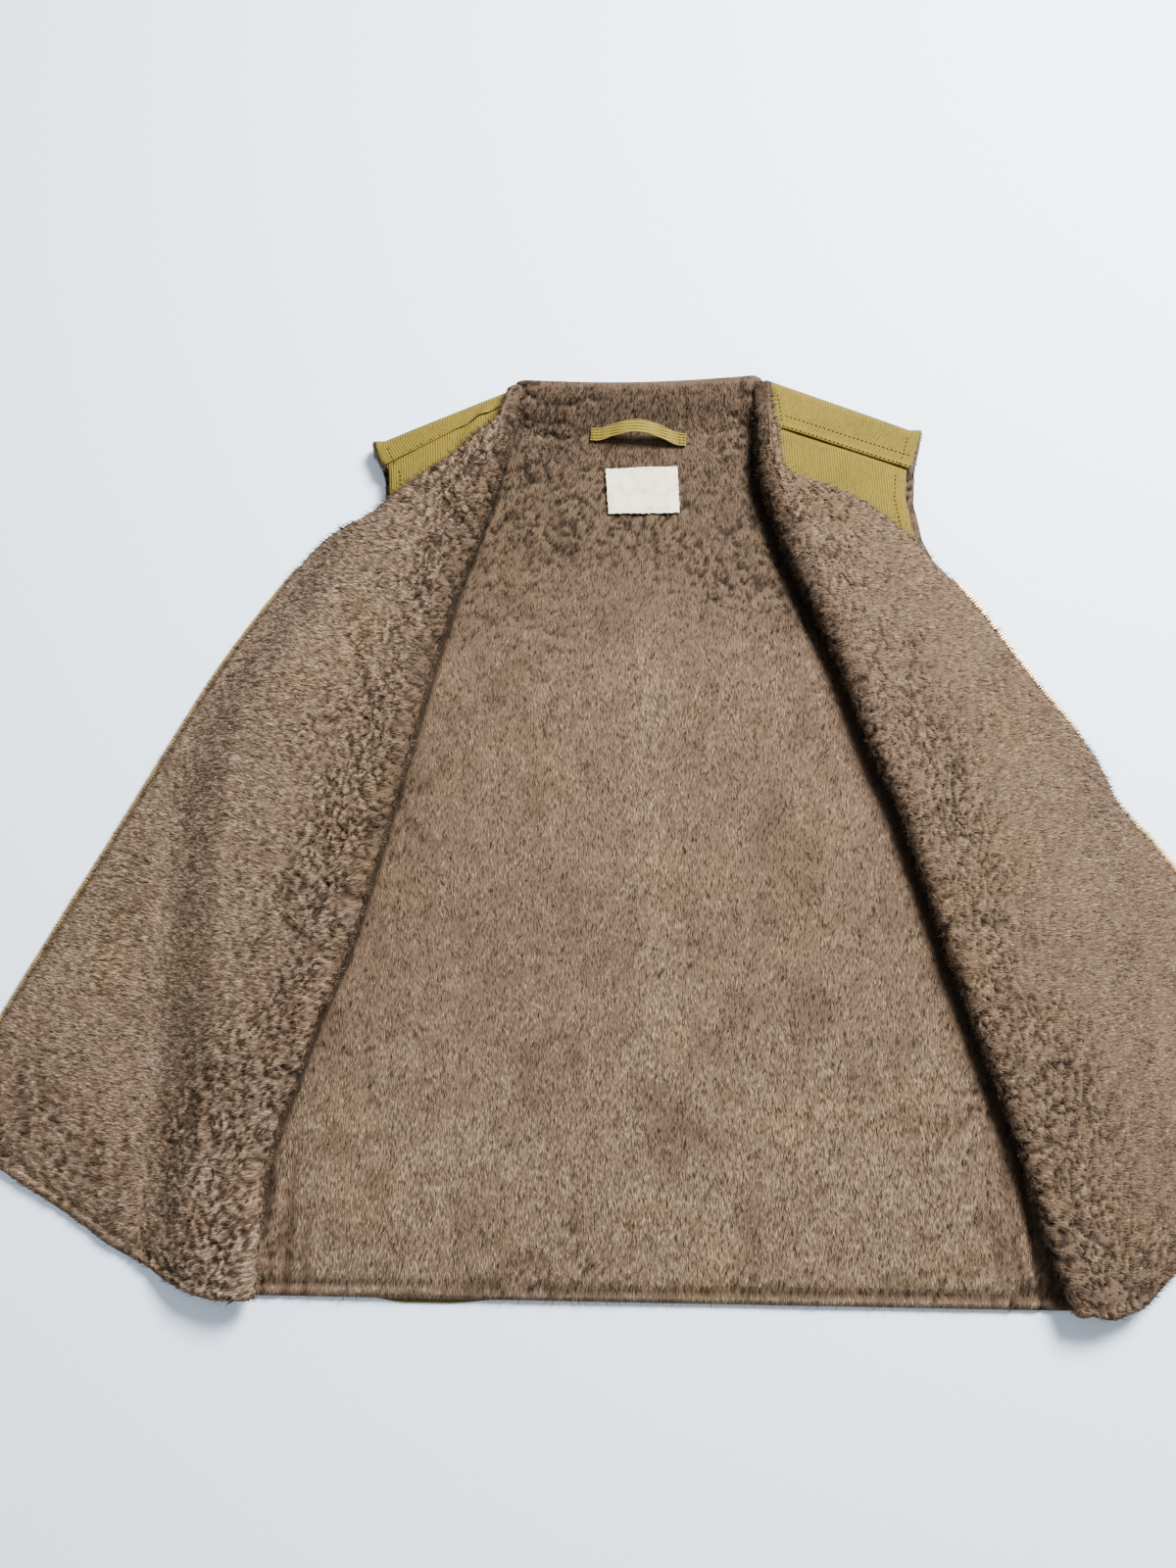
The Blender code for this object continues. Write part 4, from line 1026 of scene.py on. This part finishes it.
way_down = {}
for side, low_end in (("right", 24.4), ("left", 16.0)):
    rows = np.linspace(6, 18, 121)
    sheet, _, _ = front_sheet(side, rows, 1.0, np.array([1.0]), np.array([0.0, 1.0]),
                              np.radians([90.0, 180.0]), np.array([0.94, 0.97, 1.0]))
    rim = sheet[:, -1]
    up = normals_of(sheet, side)[:, -1]
    tangent = unit(np.gradient(rim, axis=0))
    out = unit(np.cross(tangent, up))
    if out[0, 0] * SIGN[side] < 0:
        out = -out
    way_down[side] = math.atan2(tangent[-1, 1], tangent[-1, 0])
    s_rim = lengths(rim)
    d = np.arange(11.0, s_rim[-1] - low_end, TOOTH_PITCH)
    tooth_out, tooth_way, tooth_up = (between(d, s_rim, table) for table in (out, tangent, up))
    place = between(d, s_rim, rim) + tooth_out * 2.6 - tooth_up * 0.25
    place[:, 2] = np.maximum(place[:, 2], 1.05)
    points = (place[:, None] + tooth_out[:, None] * tooth_points[None, :, :1]
              + tooth_way[:, None] * tooth_points[None, :, 1:2]
              + tooth_up[:, None] * tooth_points[None, :, 2:])
    first = np.arange(len(d))[:, None, None] * len(tooth_points)
    turned = np.dot(np.cross(tooth_out[0], tooth_way[0]), tooth_up[0]) < 0
    faces = []
    for corners, group in tooth_faces.items():
        if group:
            g = (first + np.array(group)[None]).reshape(-1, corners)
            faces.append(g[:, ::-1] if turned else g)
    teeth = mesh_piece("zip_teeth_" + side, (points.reshape(-1, 3) + SHIFT) * MM, faces, brass)
    teeth.data.polygons.foreach_set("use_smooth", np.zeros(len(teeth.data.polygons), bool))
    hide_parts("zip_chain_" + side)
    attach(teeth, "vest")
    # The tape has its corded edge in the teeth.
    d = np.linspace(3.0, s_rim[-1] - 2.0, 110)
    widths = np.array([-7.3, -4.5, -2.0, 0.2, 1.2, 2.0, 2.8])
    tops = np.array([-0.62, -0.62, -0.62, -0.62, -0.45, -0.10, -0.35])
    edge, tape_out, tape_way, tape_up = (between(d, s_rim, table) for table in (rim, out, tangent, up))
    grid = edge[:, None] + tape_out[:, None] * widths[None, :, None] + tape_up[:, None] * tops[None, :, None]
    grid[:, :, 2] = np.maximum(grid[:, :, 2], 0.75)
    flips = np.dot(np.cross(tape_out[0], tape_way[0]), up[0]) < 0
    tape_up = np.repeat(tape_up[:, None], len(widths), 1)
    tape = cloth("zip_tape_woven_" + side, grid, tape_up, TAPE_T, flips, 0.9 * SIGN[side], tape_cloth)
    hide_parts("zip_tape_" + side)
    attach(tape, "vest")

# The zip's hardware, cast in brass: the slider is two flared plates with turned-in flanges, held apart by a
# wedge, with two lugs and a pin below for the pull tab. The box and the pin close the zip's lower ends.


def cast_block(size, at, narrow=1.0, bevel=0.25, slant=0.0):
    """A bevelled block in millimetres, x down the zip: narrowed at its low end, and slanted across."""
    bpy.ops.object.select_all(action="DESELECT")
    bpy.ops.mesh.primitive_cube_add(size=1.0)
    ob = bpy.context.object
    for v in ob.data.vertices:
        v.co.y *= narrow if v.co.x > 0 else 1.0
        v.co = [a * b for a, b in zip(v.co, size)]
        v.co.y += slant * v.co.x
        v.co = [a + b for a, b in zip(v.co, at)]
    bpy.ops.object.mode_set(mode="EDIT")
    bpy.ops.mesh.select_all(action="SELECT")
    bpy.ops.mesh.bevel(offset=bevel, segments=2, affect="EDGES")
    bpy.ops.object.mode_set(mode="OBJECT")
    return ob


def cast_rod(radius, length, at, axis, taper=1.0):
    """A bevelled rod in millimetres, lying down the zip or across it."""
    bpy.ops.object.select_all(action="DESELECT")
    bpy.ops.mesh.primitive_cylinder_add(vertices=20, radius=radius, depth=length)
    ob = bpy.context.object
    for v in ob.data.vertices:
        x, y, z = v.co
        if z > 0:
            x, y = x * taper, y * taper
        v.co = [a + b for a, b in zip((z, x, y) if axis == "down" else (x, z, y), at)]
    bpy.ops.object.mode_set(mode="EDIT")
    bpy.ops.mesh.select_all(action="SELECT")
    bpy.ops.mesh.normals_make_consistent(inside=False)
    bpy.ops.mesh.select_all(action="DESELECT")
    bpy.ops.mesh.select_mode(type="FACE")
    bpy.ops.object.mode_set(mode="OBJECT")
    for face in ob.data.polygons:
        face.select = len(face.vertices) > 4
    bpy.ops.object.mode_set(mode="EDIT")
    bpy.ops.mesh.bevel(offset=radius * 0.3, segments=2, affect="EDGES")
    bpy.ops.mesh.select_mode(type="VERT")
    bpy.ops.object.mode_set(mode="OBJECT")
    return ob


def cast(name, parts, node, centre, turn):
    """Join the parts, put them where the node is and let them stand for it."""
    bpy.ops.object.select_all(action="DESELECT")
    for part in parts:
        part.select_set(True)
    bpy.context.view_layer.objects.active = parts[0]
    bpy.ops.object.join()
    ob = bpy.context.object
    ob.name = name
    c, s = math.cos(turn), math.sin(turn)
    for v in ob.data.vertices:
        x, y, z = v.co
        v.co = ((x * c - y * s) * MM + centre[0], (x * s + y * c) * MM + centre[1], z * MM + centre[2])
    ob.data.materials.append(brass)
    bpy.ops.object.shade_smooth_by_angle(angle=math.radians(40))
    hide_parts(node)
    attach(ob, "vest")
    return ob


low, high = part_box("zip_slider")
plate = (11.0, 8.0, 0.95)
parts = [cast_block(plate, (0, 0, 1.6), 0.72), cast_block(plate, (0, 0, -1.6), 0.72),
         cast_block((4.2, 2.4, 2.6), (-2.6, 0, 0), 0.25),
         cast_block((3.4, 1.6, 0.5), (-1.4, 0, 2.0), 0.7, 0.2)]
for sign in (1, -1):
    for level in (0.95, -0.95):
        parts.append(cast_block((6.6, 0.8, 0.7), (2.0, sign * 2.72, level), 1.0, 0.2, -0.1 * sign))
    parts.append(cast_block((2.2, 0.9, 2.4), (3.0, sign * 2.1, -2.85), 1.0, 0.3))
parts.append(cast_rod(0.55, 4.2, (3.0, 0, -3.45), "across"))
centre = ((low[0] + high[0]) / 2, (low[1] + high[1]) / 2, high[2] - 2.1 * MM)
cast("zip_slider_cast", parts, "zip_slider", centre, way_down["right"])
low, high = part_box("zip_box")
plate = (10.0, 6.6, 0.9)
parts = [cast_block(plate, (0, 0, 1.15), 0.94), cast_block(plate, (0, 0, -1.15), 0.94),
         cast_block((9.6, 1.9, 1.8), (0, -2.2, 0)), cast_block((1.6, 6.0, 1.8), (4.0, 0, 0)),
         cast_block((6.0, 1.1, 0.4), (-0.6, 1.2, 1.55), 1.0, 0.15),
         cast_block((6.0, 1.1, 0.4), (-0.6, -1.2, 1.55), 1.0, 0.15)]
cast("zip_box_cast", parts, "zip_box", [(a + b) / 2 for a, b in zip(low, high)], way_down["right"])
low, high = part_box("zip_pin")
parts = [cast_rod(1.05, 12.6, (0.2, 0, 0), "down", 0.72),
         cast_block((3.6, 2.6, 2.2), (-4.6, 0, 0), 0.9, 0.35)]
cast("zip_pin_cast", parts, "zip_pin", [(a + b) / 2 for a, b in zip(low, high)], way_down["left"])
# The pull tab is stamped from the same brass, and keeps the shape of its solid.
tab = bpy.data.objects["zip_pull_tab"]
tab.data.materials.clear()
tab.data.materials.append(brass)
